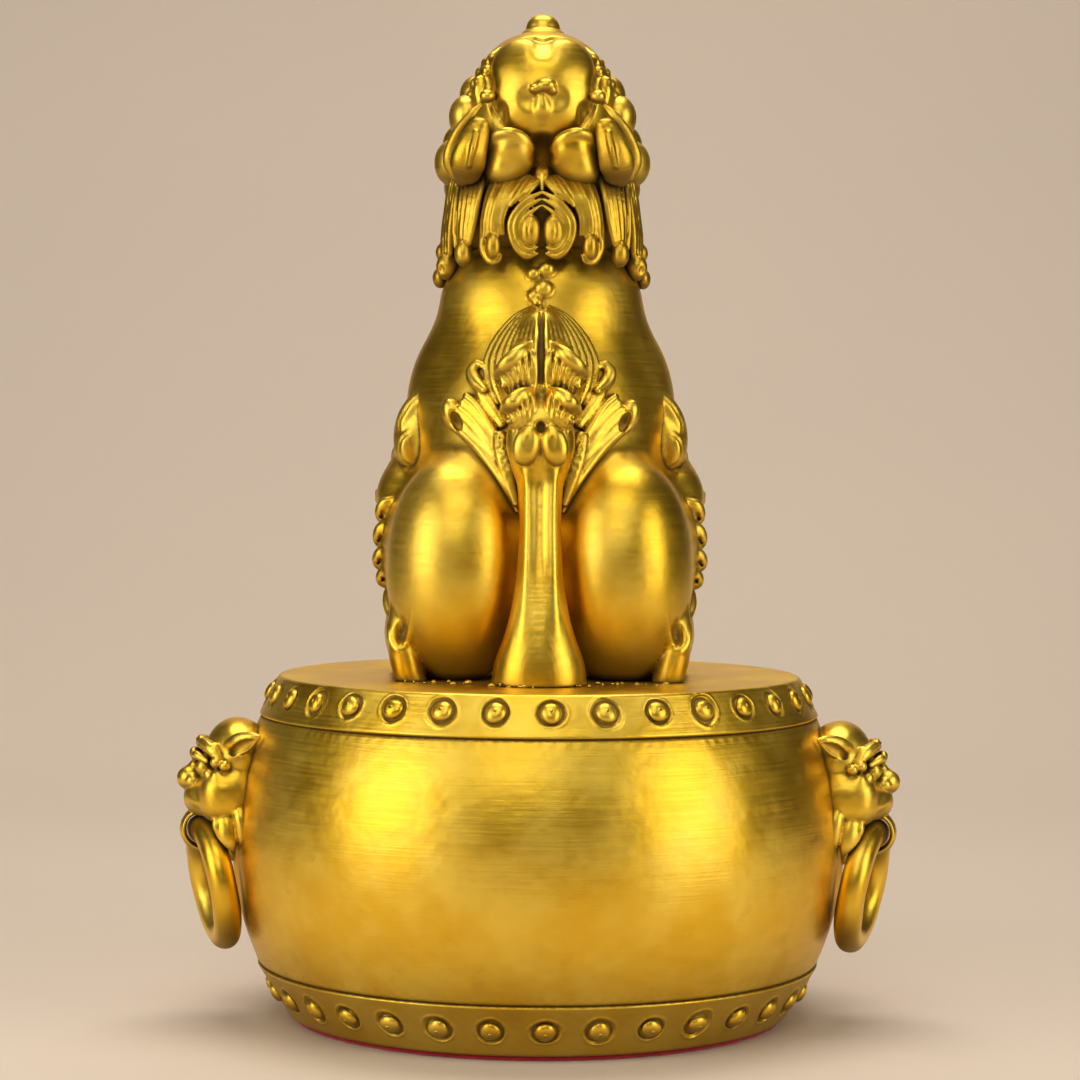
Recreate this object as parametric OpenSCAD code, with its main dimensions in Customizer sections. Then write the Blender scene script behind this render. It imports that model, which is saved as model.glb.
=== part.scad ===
// Guardian lion seated on a drum, in cast and brazed brass.
// Millimetres. +Z is up, the lion faces -Y, and the origin is the centre of the felt's underside.

/* [Drum] */
// Height of the drum's top face above the floor
drum_h = 68.2; // [67:0.1:70]
// Largest radius of the barrel
barrel_r = 61.1; // [60:0.1:63]
// Radius of the barrel's side curve, seen in section
bulge_r = 56; // [54:1:60]
// Height of the barrel's widest point
bulge_z = 35.5; // [34:0.5:37]
// Thickness of the cast walls
wall = 2.8; // [2.4:0.1:3.4]
// Height of the seam under the top cap's nail band
upper_seam_z = 60.2; // [59.5:0.1:61]
// Height of the seam over the bottom ring's nail band
lower_seam_z = 11.4; // [11:0.1:12]
// Radius of the flat top, inside its rounded edge
top_r = 51.3; // [50.5:0.1:52]
// Radius of the bottom ring's lower edge
foot_r = 49.8; // [49:0.1:50.5]

/* [Drum nails] */
// Number of nails in each band
nail_count = 33; // [30:1:36]
// Turn of the upper band's nails, as a share of their spacing
upper_nail_phase = 0.47; // [0:0.01:1]
// Turn of the lower band's nails, as a share of their spacing
lower_nail_phase = 0.4; // [0:0.01:1]
// Radius of a nail's dome
nail_r = 1.9; // [1.7:0.1:2.1]
// Height that a nail's dome stands out
nail_rise = 1.0; // [0.7:0.1:1.2]

/* [Base] */
// Thickness of the felt pad
felt_t = 1.0; // [0.8:0.1:1.5]
// Thickness of the base plate
base_t = 2.0; // [1.5:0.1:2.5]
// Number of screws in the base plate
base_screw_count = 4; // [3:1:6]

/* [Mask handles] */
// Turn of each mask away from the drum's side, towards the lion's back
mask_turn = 9; // [6:1:12]
// Turn of each ring in its mask's mouth
ring_yaw = 8; // [6:1:9]
// Lean of each ring in towards the drum
ring_lean = 11; // [11:1:13]
// Radius of a ring, at the middle of its wire
ring_r = 10.8; // [10.6:0.1:11]
// Radius of a ring's wire
wire_r = 2.8; // [2.6:0.1:2.8]
// Distance from the drum's axis to a ring's pivot
pivot_r = 67; // [66.5:0.1:67.5]
// Height of a ring's pivot
pivot_z = 38.1; // [37.5:0.1:38.5]

/* [Lion] */
// Radius of the ball under the right forepaw
ball_r = 8.5; // [8:0.1:9]
// Radius of the bell on the chest
bell_r = 4.2; // [4:0.1:4.5]
// Number of hair locks in the mane's fringe
lock_count = 14; // [12:2:16]

/* [Hidden] */
$fn = 96;
blob_fn = 20;
small_fn = 10;
fit_gap = 0.05;
ring_gap = 0.35;
screw_r = 1.5;
head_r = 2.8;
mask_screw_z = 50;
ring_sweep = [-2, 19, 40, 61, 83];

brass = "#C99A2E";
pale_brass = "#D8AE45";
steel = "#9A9A9E";
felt_red = "#9C1F2B";

// ---- Helpers ----

// An ellipsoid that counts as one hull, so that a node made of them is one mesh
module blob(centre, radii, fn = blob_fn)
    hull() translate(centre) scale(radii) sphere(r = 1, $fn = fn);

// Hulls that join each ellipsoid in a list to the next one
module limb(sections, fn = blob_fn)
    for (i = [0 : len(sections) - 2])
        hull() for (s = [sections[i], sections[i + 1]])
            translate(s[0]) scale(s[1]) sphere(r = 1, $fn = fn);

// The same sections with a wall's thickness taken off their radii
function shrunk(sections, by) = [for (s = sections) [s[0], s[1] - [by, by, by]]];

// The half-space above the drum's top face
module above_seat(size = 200)
    translate([-size / 2, -size / 2, 0]) cube([size, size, size]);

module on_seat() translate([0, 0, drum_h]) children();

module right_side() mirror([1, 0, 0]) children();

// Radius of the barrel's outer face at a height
function barrel_at(z) = barrel_r - bulge_r + sqrt(bulge_r * bulge_r - pow(z - bulge_z, 2));

// Radius of its inner face
function inside_at(z) = barrel_r - bulge_r + sqrt(pow(bulge_r - wall, 2) - pow(z - bulge_z, 2));

// ---- Drum ----

module barrel_profile(inset) {
    intersection() {
        translate([barrel_r - bulge_r, bulge_z]) circle(r = bulge_r - inset);
        translate([0, lower_seam_z]) square([barrel_r, upper_seam_z - lower_seam_z]);
    }
}

module drum_barrel() {
    color(brass) difference() {
        rotate_extrude() difference() {
            barrel_profile(0);
            barrel_profile(wall);
        }
        for (side = [0, 1]) mirror([side, 0, 0]) {
            mask_screw_hole(screw_r + 0.2);
            mask_screw_seat();
        }
    }
}

cap_seam_r = barrel_at(upper_seam_z);
cap_spigot_r = inside_at(upper_seam_z) - fit_gap;
ring_seam_r = barrel_at(lower_seam_z);
ring_spigot_r = inside_at(lower_seam_z) - fit_gap;
spigot_h = 3;
edge_r = 0.9;

module drum_top_cap() {
    color(brass) difference() {
        rotate_extrude() polygon([
            [0, drum_h], [top_r, drum_h],
            for (a = [60 : -30 : 0]) [top_r + edge_r * cos(a), drum_h - edge_r + edge_r * sin(a)],
            [cap_seam_r + 0.3, upper_band_bottom_z], [cap_seam_r, upper_seam_z],
            [cap_spigot_r, upper_seam_z], [cap_spigot_r - 1, upper_seam_z - spigot_h],
            [cap_spigot_r - wall, upper_seam_z - spigot_h], [cap_spigot_r - wall, drum_h - 4.5],
            [cap_spigot_r - wall - 1.5, drum_h - wall], [0, drum_h - wall]
        ]);
        nail_holes(upper_nail_phase, upper_nail_z, upper_nail_r, upper_slope);
        for (y = fixing_y) translate([0, y, drum_h - 10]) cylinder(r = bolt_r + 0.2, h = 20);
    }
}

base_top_z = felt_t + base_t;
ledge_r = 39;
base_screw_pitch_r = 42.5;

module drum_bottom_ring() {
    color(brass) difference() {
        rotate_extrude() polygon([
            [ring_seam_r, lower_seam_z], [ring_seam_r + 0.2, lower_band_top_z],
            [foot_r, felt_t],
            [foot_r - wall - 1, felt_t], [foot_r - wall - 1, base_top_z],
            [ledge_r, base_top_z], [ledge_r, base_top_z + 4],
            [ring_spigot_r - wall, lower_seam_z + spigot_h],
            [ring_spigot_r, lower_seam_z + spigot_h], [ring_spigot_r, lower_seam_z]
        ]);
        nail_holes(lower_nail_phase, lower_nail_z, lower_nail_r, lower_slope);
        base_screw_places() translate([0, 0, base_top_z - 1]) cylinder(r = screw_r, h = 4.5);
    }
}

module base_screw_places()
    for (i = [0 : base_screw_count - 1])
        rotate([0, 0, 45 + i * 360 / base_screw_count])
            translate([base_screw_pitch_r, 0, 0]) children();

// A countersunk screw with its flat head's top at z = 0 and its shank up
module countersunk_shape(shank_r, shank_l, top_r, sink_h) {
    cylinder(r1 = top_r, r2 = shank_r, h = sink_h);
    cylinder(r = shank_r, h = shank_l);
}

module drum_base_plate() {
    color("#8C7433") difference() {
        translate([0, 0, felt_t]) cylinder(r = foot_r - wall - 1 - fit_gap, h = base_t);
        base_screw_places() translate([0, 0, felt_t])
            countersunk_shape(screw_r + 0.15, base_t + 1, head_r + 0.15, head_r - screw_r);
    }
}

module base_plate_screws() {
    color(steel) base_screw_places() translate([0, 0, felt_t])
        countersunk_shape(screw_r - fit_gap, base_t + 3, head_r, head_r - screw_r + fit_gap);
}

module felt_pad() {
    color(felt_red) cylinder(r = foot_r - 0.9, h = felt_t);
}

// ---- Drum nails ----

upper_band_bottom_z = upper_seam_z + 0.6;
upper_nail_z = 64.9;
upper_lean = (cap_seam_r + 0.3 - top_r - edge_r) / (drum_h - edge_r - upper_band_bottom_z);
upper_nail_r = top_r + edge_r + (drum_h - edge_r - upper_nail_z) * upper_lean;
upper_slope = atan(upper_lean);
lower_band_top_z = lower_seam_z - 0.6;
lower_nail_z = 6.2;
lower_lean = (ring_seam_r + 0.2 - foot_r) / (lower_band_top_z - felt_t);
lower_nail_r = foot_r + (lower_nail_z - felt_t) * lower_lean;
lower_slope = -atan(lower_lean);
pin_r = 0.9;
pin_l = 1.6;

// Places children at each nail, with +X out of the band's face
module nail_places(phase, z, r, slope)
    for (i = [0 : nail_count - 1])
        rotate([0, 0, (i + phase) * 360 / nail_count])
            translate([r, 0, z]) rotate([0, -slope, 0]) children();

module nail_holes(phase, z, r, slope)
    nail_places(phase, z, r, slope)
        translate([-pin_l, 0, 0]) rotate([0, 90, 0]) cylinder(r = pin_r, h = pin_l + 2);

// A dome that is a cap of a sphere, on a short pin
module nail() {
    cap_r = (nail_r * nail_r + nail_rise * nail_rise) / (2 * nail_rise);
    seat = 0.06;
    translate([seat, 0, 0]) rotate([0, 90, 0]) intersection() {
        translate([0, 0, nail_rise - cap_r]) sphere(r = cap_r);
        cylinder(r = nail_r + 1, h = nail_rise + 1);
    }
    translate([-pin_l + 0.1, 0, 0]) rotate([0, 90, 0]) cylinder(r = pin_r - fit_gap, h = pin_l + 0.1);
}

module upper_drum_nails()
    color(pale_brass) nail_places(upper_nail_phase, upper_nail_z, upper_nail_r, upper_slope) nail();

module lower_drum_nails()
    color(pale_brass) nail_places(lower_nail_phase, lower_nail_z, lower_nail_r, lower_slope) nail();

// ---- Lion, in a frame whose z = 0 is the drum's top face ----

torso_sections = [
    [[0, 6, 12], [15, 18, 15]],
    [[0, 1, 38], [27.5, 22, 18]],
    [[0, -3, 54], [26.3, 20.5, 16]],
    [[0, -6, 78], [18.6, 17, 10]]
];

module torso_shape() limb(torso_sections, 28);

module chest_shape() blob([0, -20, 48], [13, 8, 19], 20);

// Small beads along the spine, between the mane and the tail's tuft
module spine_beads()
    for (i = [0 : 2])
        blob([1.1 * (1 - 2 * (i % 2)), 11.2 - 0.6 * i, 75.2 + 2.4 * i], [1.7, 2.6, 1.8], small_fn);

module lion_torso() {
    color(brass) on_seat() difference() {
        intersection() {
            union() {
                torso_shape();
                spine_beads();
                chest_shape();
            }
            above_seat();
        }
        torso_cavity(0);
        neck_cut();
    }
}

// The hollow inside, less a gap, open at the bottom
module torso_cavity(gap)
    translate([0, 0, -4]) limb(shrunk(torso_sections, 3.2 + gap), 16);

// Everything above the neck joint belongs to the head
neck_z = 80;
module neck_cut() translate([-50, -50, neck_z]) cube(100);

skull_c = [0, -11, 107];

module head_shape() {
    blob(skull_c, [16.5, 17, 21], 26);
    blob([0, -8, 86], [17, 15, 14]);
    blob([0, -8, 116], [10.5, 12.5, 13]);
    blob([0, -13, 129.4], [3.1, 3.4, 3.8], small_fn);
    blob([0, -29, 98], [9.5, 7, 6.5]);
    blob([0, -27, 88.5], [7.5, 6.5, 4]);
    blob([0, -33, 101.5], [4.6, 3.2, 3.4], small_fn);
    for (x = [-1, 1]) {
        blob([x * 7.2, -26, 108.5], [3.8, 3.6, 3.6], small_fn);
        blob([x * 7.5, -24.5, 113.5], [5.5, 4.5, 3], small_fn);
        blob([x * 10.5, -22, 96], [6, 6.5, 7]);
        blob([x * 16.4, -6, 102], [4.6, 5, 4.8], small_fn);
        blob([x * 15, -5, 111], [3.8, 4.2, 4.6], small_fn);
        blob([x * 14.5, -15, 115], [3.6, 4, 4], small_fn);
        blob([x * 7, 3.5, 99.5], [4.2, 4.6, 6], small_fn);
        blob([x * 16.5, -14, 93], [4.2, 5, 5], small_fn);
    }
}

module lion_head() {
    color(brass) on_seat() difference() {
        head_shape();
        mouth_cut();
        translate([-50, -50, neck_z - 100]) cube(100);
        limb([[[0, -8, neck_z - 6], [8.5, 8.5, 6]], [skull_c, [9.5, 9.5, 12]]], small_fn);
    }
}

// The open mouth between the upper jaw and the lower one
module mouth_cut() hull() {
    translate([-9, -45, 90.5]) cube([18, 20, 4]);
    translate([-7, -25, 91.5]) cube([14, 4, 2]);
}

// A drooping leaf behind each cheek
module ear_shape() {
    limb([
        [[9.5, 6, 113], [1.2, 1.2, 1.5]], [[11.5, 7.6, 108], [2.4, 1.7, 3]],
        [[13.5, 8, 103], [3.3, 2, 3.6]], [[14.8, 6.8, 98.5], [2.6, 1.8, 2.6]]
    ], small_fn);
}

module ear() {
    color(pale_brass) on_seat() difference() {
        ear_shape();
        head_shape();
    }
}

module left_ear() ear();
module right_ear() right_side() ear();

// Hair locks that hang from under the skull and end in round curls
module mane_shape() {
    for (i = [0 : lock_count - 1]) {
        a = -18 + i * 216 / (lock_count - 1);
        side = abs(cos(a));
        limb([
            [[16 * cos(a), -6 + 13 * sin(a), 96], [2.9, 2.9, 3]],
            [[19 * cos(a), -7 + 17.5 * sin(a), 81.5 + 2 * (1 - side)], [2.7, 2.7, 3.2]]
        ], small_fn);
    }
}

module mane_fringe() {
    color(pale_brass) on_seat() difference() {
        mane_shape();
        head_shape();
        torso_shape();
        ear_shape();
        right_side() ear_shape();
    }
}

// Thigh, hock and long foot, for the left side
module hind_leg_shape() {
    blob([18.5, 10.5, 21], [13.2, 21, 22], 26);
    limb([
        [[21, -8, 14], [8.5, 11, 12]], [[24.5, 6, 8], [6.5, 9, 7]],
        [[26.6, 17, 9], [3.8, 4.5, 8]], [[26.8, 17, 2.5], [3.8, 5, 3]],
        [[26, -8, 3], [5, 9, 4]], [[24.5, -25, 3.2], [6.6, 8, 4.8]]
    ]);
    for (i = [0 : 4])
        blob([28 + 2.6 * sin(45 * i), 9 - 3 * i, 37.5 - 4.2 * i], [3.3, 4.6, 3.7], small_fn);
}

module hind_leg() {
    color(brass) on_seat() difference() {
        intersection() {
            hind_leg_shape();
            above_seat();
            translate([0.1, -100, 0]) cube(200);
        }
        torso_shape();
        tail_shape();
        foreleg_trim();
    }
}

module left_hind_leg() hind_leg();
module right_hind_leg() right_side() hind_leg();

shoulder_sections = [
    [[19, -12, 56], [8.5, 10, 12]], [[21.5, -10, 42], [7.5, 9, 10]]
];
left_leg_sections = [
    [[21.5, -10, 42], [7.5, 9, 10]], [[18.5, -25, 26], [6, 6.2, 9]],
    [[16.5, -30, 10], [5.4, 5.6, 7]], [[16, -34, 3.6], [7, 8.6, 5]]
];
ball_c = [15.5, -33.5, ball_r];
right_leg_sections = [
    [[21.5, -10, 42], [7.5, 9, 10]], [[19.5, -22, 34], [6.2, 6.5, 8]],
    [[17, -29, 25], [5.2, 5.4, 6]], [[15.5, -33.5, 2 * ball_r + 3.4], [6.6, 7.6, 4.4]]
];

module shoulder_curls()
    for (i = [0 : 3])
        blob([25.2 + 1.4 * (i % 2), -9 + 2.2 * i, 52 - 4.4 * i], [3.4, 4, 3.6], small_fn);

// A bent cut that keeps the hind leg off the foreleg on either side
module foreleg_trim() {
    limb(shoulder_sections);
    limb(left_leg_sections);
    limb(right_leg_sections);
    shoulder_curls();
    translate(ball_c) sphere(r = ball_r + 0.4, $fn = 40);
}

module foreleg(sections) {
    color(brass) on_seat() difference() {
        intersection() {
            union() {
                limb(shoulder_sections);
                limb(sections);
                shoulder_curls();
            }
            above_seat();
        }
        torso_shape();
        chest_shape();
        children();
    }
}

module left_foreleg() foreleg(left_leg_sections);

module right_foreleg()
    right_side() foreleg(right_leg_sections) translate(ball_c) sphere(r = ball_r, $fn = 40);

module brocade_ball() color(pale_brass) on_seat() mirror([1, 0, 0]) translate(ball_c) sphere(r = ball_r - fit_gap);

// Stem, tuft and the two side flames
module tail_shape() {
    limb([
        [[0, 29, -1], [8.8, 6, 3]], [[0, 30.5, 8], [6.2, 5.4, 5]], [[0, 29.5, 22], [3.9, 5, 6]],
        [[0, 26, 36], [3.9, 5, 5]], [[0, 22.5, 48], [6.4, 5, 7]], [[0, 18.5, 60], [10.4, 5, 7]],
        [[0, 14.5, 68], [4, 4, 4]], [[0, 12.5, 72], [1.2, 2.6, 1.6]]
    ], 16);
    for (x = [-1, 1])
        limb([
            [[x * 4, 25, 36], [2, 3, 3]], [[x * 10, 21, 47], [3.2, 3.6, 4]],
            [[x * 16, 15.5, 52], [2.8, 4.6, 3.2]]
        ], small_fn);
}

module tail() {
    color(pale_brass) on_seat() difference() {
        intersection() {
            tail_shape();
            above_seat();
        }
        torso_shape();
        spine_beads();
        mane_shape();
    }
}

bell_c = [0, -32, 57];
strap_half = 15;
strap_drop = 62.8;

// Middle of the strap, for t from -1 on one shoulder to 1 on the other
function strap_point(t) = [strap_half * t, -27.4 + 8.5 * t * t, strap_drop + 9 * t * t];

module collar_strap() {
    color(pale_brass) on_seat() difference() {
        limb([for (t = [-1 : 0.2 : 1.01]) [strap_point(t), [1.8, 1.8, 1.8]]], small_fn);
        torso_shape();
        mane_shape();
        limb(shoulder_sections);
        chest_shape();
        bell_shape();
    }
}

module bell_shape() {
    translate(bell_c) sphere(r = bell_r);
    translate(bell_c + [0, 0, 3.5]) cylinder(r = 1.2, h = 3.2);
}

module collar_bell() {
    color(pale_brass) on_seat() difference() {
        bell_shape();
        translate(bell_c + [-0.6, -bell_r - 1, -bell_r - 1]) cube([1.2, 2 * bell_r + 2, bell_r + 0.4]);
    }
}

// ---- Fixings between the lion and the drum ----

fixing_y = [1.5, 10.5];
bridge_t = 3.5;
bolt_r = 2;
bolt_head_r = 3.6;
bolt_head_h = 2.6;

// A plate brazed across the open bottom of the torso, for the two bolts
module fixing_bridge() {
    color("#8C7433") on_seat() difference() {
        intersection() {
            torso_cavity(fit_gap);
            translate([-20, -2.5, 0]) cube([40, 17, bridge_t]);
        }
        for (y = fixing_y) translate([0, y, -1]) cylinder(r = bolt_r, h = bridge_t + 2);
    }
}

module fixing_screws() {
    color(steel) on_seat() for (y = fixing_y) translate([0, y, -wall]) {
        translate([0, 0, -bolt_head_h]) cylinder(r = bolt_head_r, h = bolt_head_h);
        translate([0, 0, -0.5]) cylinder(r = bolt_r - fit_gap, h = wall + bridge_t + 0.5);
    }
}

// ---- Mask handles, for the left side in a frame turned so that +X is out of the mask ----

module at_mask() rotate([0, 0, mask_turn]) children();

mask_screw_seat_r = inside_at(mask_screw_z) - 0.1;

module mask_screw_hole(r)
    at_mask() translate([barrel_r - 12, 0, mask_screw_z]) rotate([0, 90, 0]) cylinder(r = r, h = 16);

// A flat inside the barrel for the screw's head
module mask_screw_seat()
    at_mask() translate([barrel_r - 12, 0, mask_screw_z]) rotate([0, 90, 0])
        cylinder(r = head_r + 0.2, h = mask_screw_seat_r - barrel_r + 12);

// A ring turned about its pivot, by an angle from where it leans on the drum
module ring_at(angle, wire, fn_ring, fn_wire)
    translate([pivot_r, 0, pivot_z]) rotate([0, 0, ring_yaw]) rotate([0, ring_lean - angle, 0])
        translate([0, 0, -ring_r]) rotate([0, 90, 0])
            rotate_extrude($fn = fn_ring) translate([ring_r, 0]) circle(r = wire, $fn = fn_wire);

// A beast's face, in a frame whose origin is the ring's pivot
module mask_shape() translate([pivot_r, 0, pivot_z]) {
    blob([-6.6, 0, 14], [6.6, 9.4, 7]);
    blob([-3, 0, 15.2], [4, 7.4, 3.8]);
    blob([2.4, 0, 9.6], [2.9, 3, 2.5], small_fn);
    blob([-2.6, 0, 5.2], [6.2, 7.2, 4.4]);
    blob([-5.2, 0, -1.2], [2.5, 5.4, 4.8], small_fn);
    for (y = [-1, 1]) {
        blob([-1.2, y * 4.4, 12.2], [2.2, 2.2, 2.2], small_fn);
        blob([-4.8, y * 7.6, 7.6], [3.6, 4, 5.4], small_fn);
        limb([[[-6, y * 7, 15.4], [1.8, 2, 2.2]], [[-9.4, y * 12, 18.4], [0.8, 1, 1]]], small_fn);
        limb([[[-6.2, y * 10.2, 9.6], [1.9, 1.9, 1.9]], [[-4.9, y * 10.6, 2.2], [1.5, 1.6, 1.7]]], small_fn);
    }
    limb([
        [[-4.6, 0, -4.5], [1.2, 1.9, 1]], [[0.8, 0, -4.6], [0.9, 1.5, 1]],
        [[3.9, 0, -1.6], [0.9, 1.5, 1]], [[3.4, 0, 4.4], [0.9, 1.8, 1]]
    ], small_fn);
}

module mask() {
    color(brass) at_mask() difference() {
        mask_shape();
        for (a = ring_sweep) ring_at(a, wire_r + ring_gap, 26, 10);
        barrel_block();
        rotate([0, 0, -mask_turn]) mask_screw_hole(screw_r);
    }
}

// The barrel as a solid, to seat a mask's back on
module barrel_block() rotate_extrude($fn = 120) intersection() {
    translate([barrel_r - bulge_r, bulge_z]) circle(r = bulge_r + 0.12, $fn = 60);
    translate([0, lower_seam_z]) square([barrel_r + 1, upper_seam_z - lower_seam_z + 3]);
}

module left_mask() mask();
module right_mask() right_side() mask();

module ring() color(pale_brass) at_mask() ring_at(0, wire_r, 96, 48);
module left_ring() ring();
module right_ring() right_side() ring();

module mask_screw() {
    at_mask() translate([mask_screw_seat_r, 0, mask_screw_z]) rotate([0, 90, 0]) {
        translate([0, 0, -0.5]) cylinder(r = screw_r - fit_gap, h = wall + 4.5);
        translate([0, 0, -1.9]) cylinder(r = head_r, h = 1.9);
    }
}

module mask_screws() color(steel) for (side = [0, 1]) mirror([side, 0, 0]) mask_screw();

drum_barrel();
drum_top_cap();
drum_bottom_ring();
drum_base_plate();
felt_pad();
upper_drum_nails();
lower_drum_nails();
base_plate_screws();
mask_screws();
lion_torso();
lion_head();
left_ear();
right_ear();
mane_fringe();
left_hind_leg();
right_hind_leg();
left_foreleg();
right_foreleg();
tail();
brocade_ball();
collar_strap();
collar_bell();
fixing_bridge();
fixing_screws();
left_mask();
right_mask();
left_ring();
right_ring();
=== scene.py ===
"""A brass guardian lion seated on a drum: sculpted surfaces and finishes around the CAD frame.

Shapes are worked in millimetres. The lion's are in the seat frame, whose z = 0 is the drum's top face,
and the masks' are in a frame at the ring's pivot whose +X is out of the mask.
"""
import math

import bpy
import numpy as np
import openvdb
from mathutils import Matrix, Vector


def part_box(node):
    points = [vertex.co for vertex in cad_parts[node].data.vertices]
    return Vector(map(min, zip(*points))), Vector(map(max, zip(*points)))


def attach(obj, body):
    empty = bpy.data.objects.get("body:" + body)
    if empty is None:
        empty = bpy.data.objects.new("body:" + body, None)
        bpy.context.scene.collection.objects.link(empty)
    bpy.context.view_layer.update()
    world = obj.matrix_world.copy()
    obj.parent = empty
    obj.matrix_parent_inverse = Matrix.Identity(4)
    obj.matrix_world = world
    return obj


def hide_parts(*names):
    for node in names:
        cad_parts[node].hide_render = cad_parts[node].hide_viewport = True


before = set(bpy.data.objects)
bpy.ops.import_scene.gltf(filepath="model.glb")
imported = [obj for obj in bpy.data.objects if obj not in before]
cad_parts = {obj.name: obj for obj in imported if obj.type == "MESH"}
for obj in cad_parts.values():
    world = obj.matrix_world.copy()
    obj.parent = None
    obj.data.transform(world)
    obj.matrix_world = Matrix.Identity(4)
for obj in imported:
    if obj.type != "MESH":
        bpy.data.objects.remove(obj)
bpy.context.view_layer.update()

MM = 0.001
SEAT_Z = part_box("drum_top_cap")[1].z / MM


# ---- Clay: a block of space that holds the distance to a surface ----

FAR = 12.0


def smooth_min(a, b, k):
    """The lesser of two distances, rounded where they meet, over about k millimetres."""
    if k <= 0:
        return np.minimum(a, b)
    h = np.maximum(k - np.abs(a - b), 0)
    return np.minimum(a, b) - h * h * (0.25 / k)


def smooth_max(a, b, k):
    return -smooth_min(-a, -b, k)


def curve_through(points, steps):
    """A smooth curve through rows of numbers: positions, widths or directions alike."""
    p = np.array(points, float)
    p = np.vstack([2 * p[0] - p[1], p, 2 * p[-1] - p[-2]])
    rows = []
    for i in range(1, len(p) - 2):
        t = np.linspace(0, 1, steps, endpoint=False)[:, None]
        a, b, c, d = p[i - 1], p[i], p[i + 1], p[i + 2]
        rows.append(b + 0.5 * t * (c - a + t * (2 * a - 5 * b + 4 * c - d + t * (3 * b - a - 3 * c + d))))
    rows.append(p[-2][None, :])
    return np.vstack(rows)


def mirrored(point):
    return (-point[0], *point[1:])


def waves(x, y, z, length):
    """A slow, repeatable unevenness from -1 to 1, like a surface finished by hand."""
    f = 2 * math.pi / length
    total = np.sin(f * (x + 0.31 * y) + 1.3) * np.sin(f * (z * 0.87 - 0.42 * x) + 0.4)
    total = total + np.sin(f * (0.7 * y - 0.55 * z) + 2.1) * np.sin(f * (0.93 * x + 0.2 * z) + 4.0)
    total = total + 0.6 * np.sin(f * 2.1 * (z + 0.3 * y) + 0.7) * np.sin(f * 1.9 * (x - 0.6 * y) + 5.2)
    return total / 2.6


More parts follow.
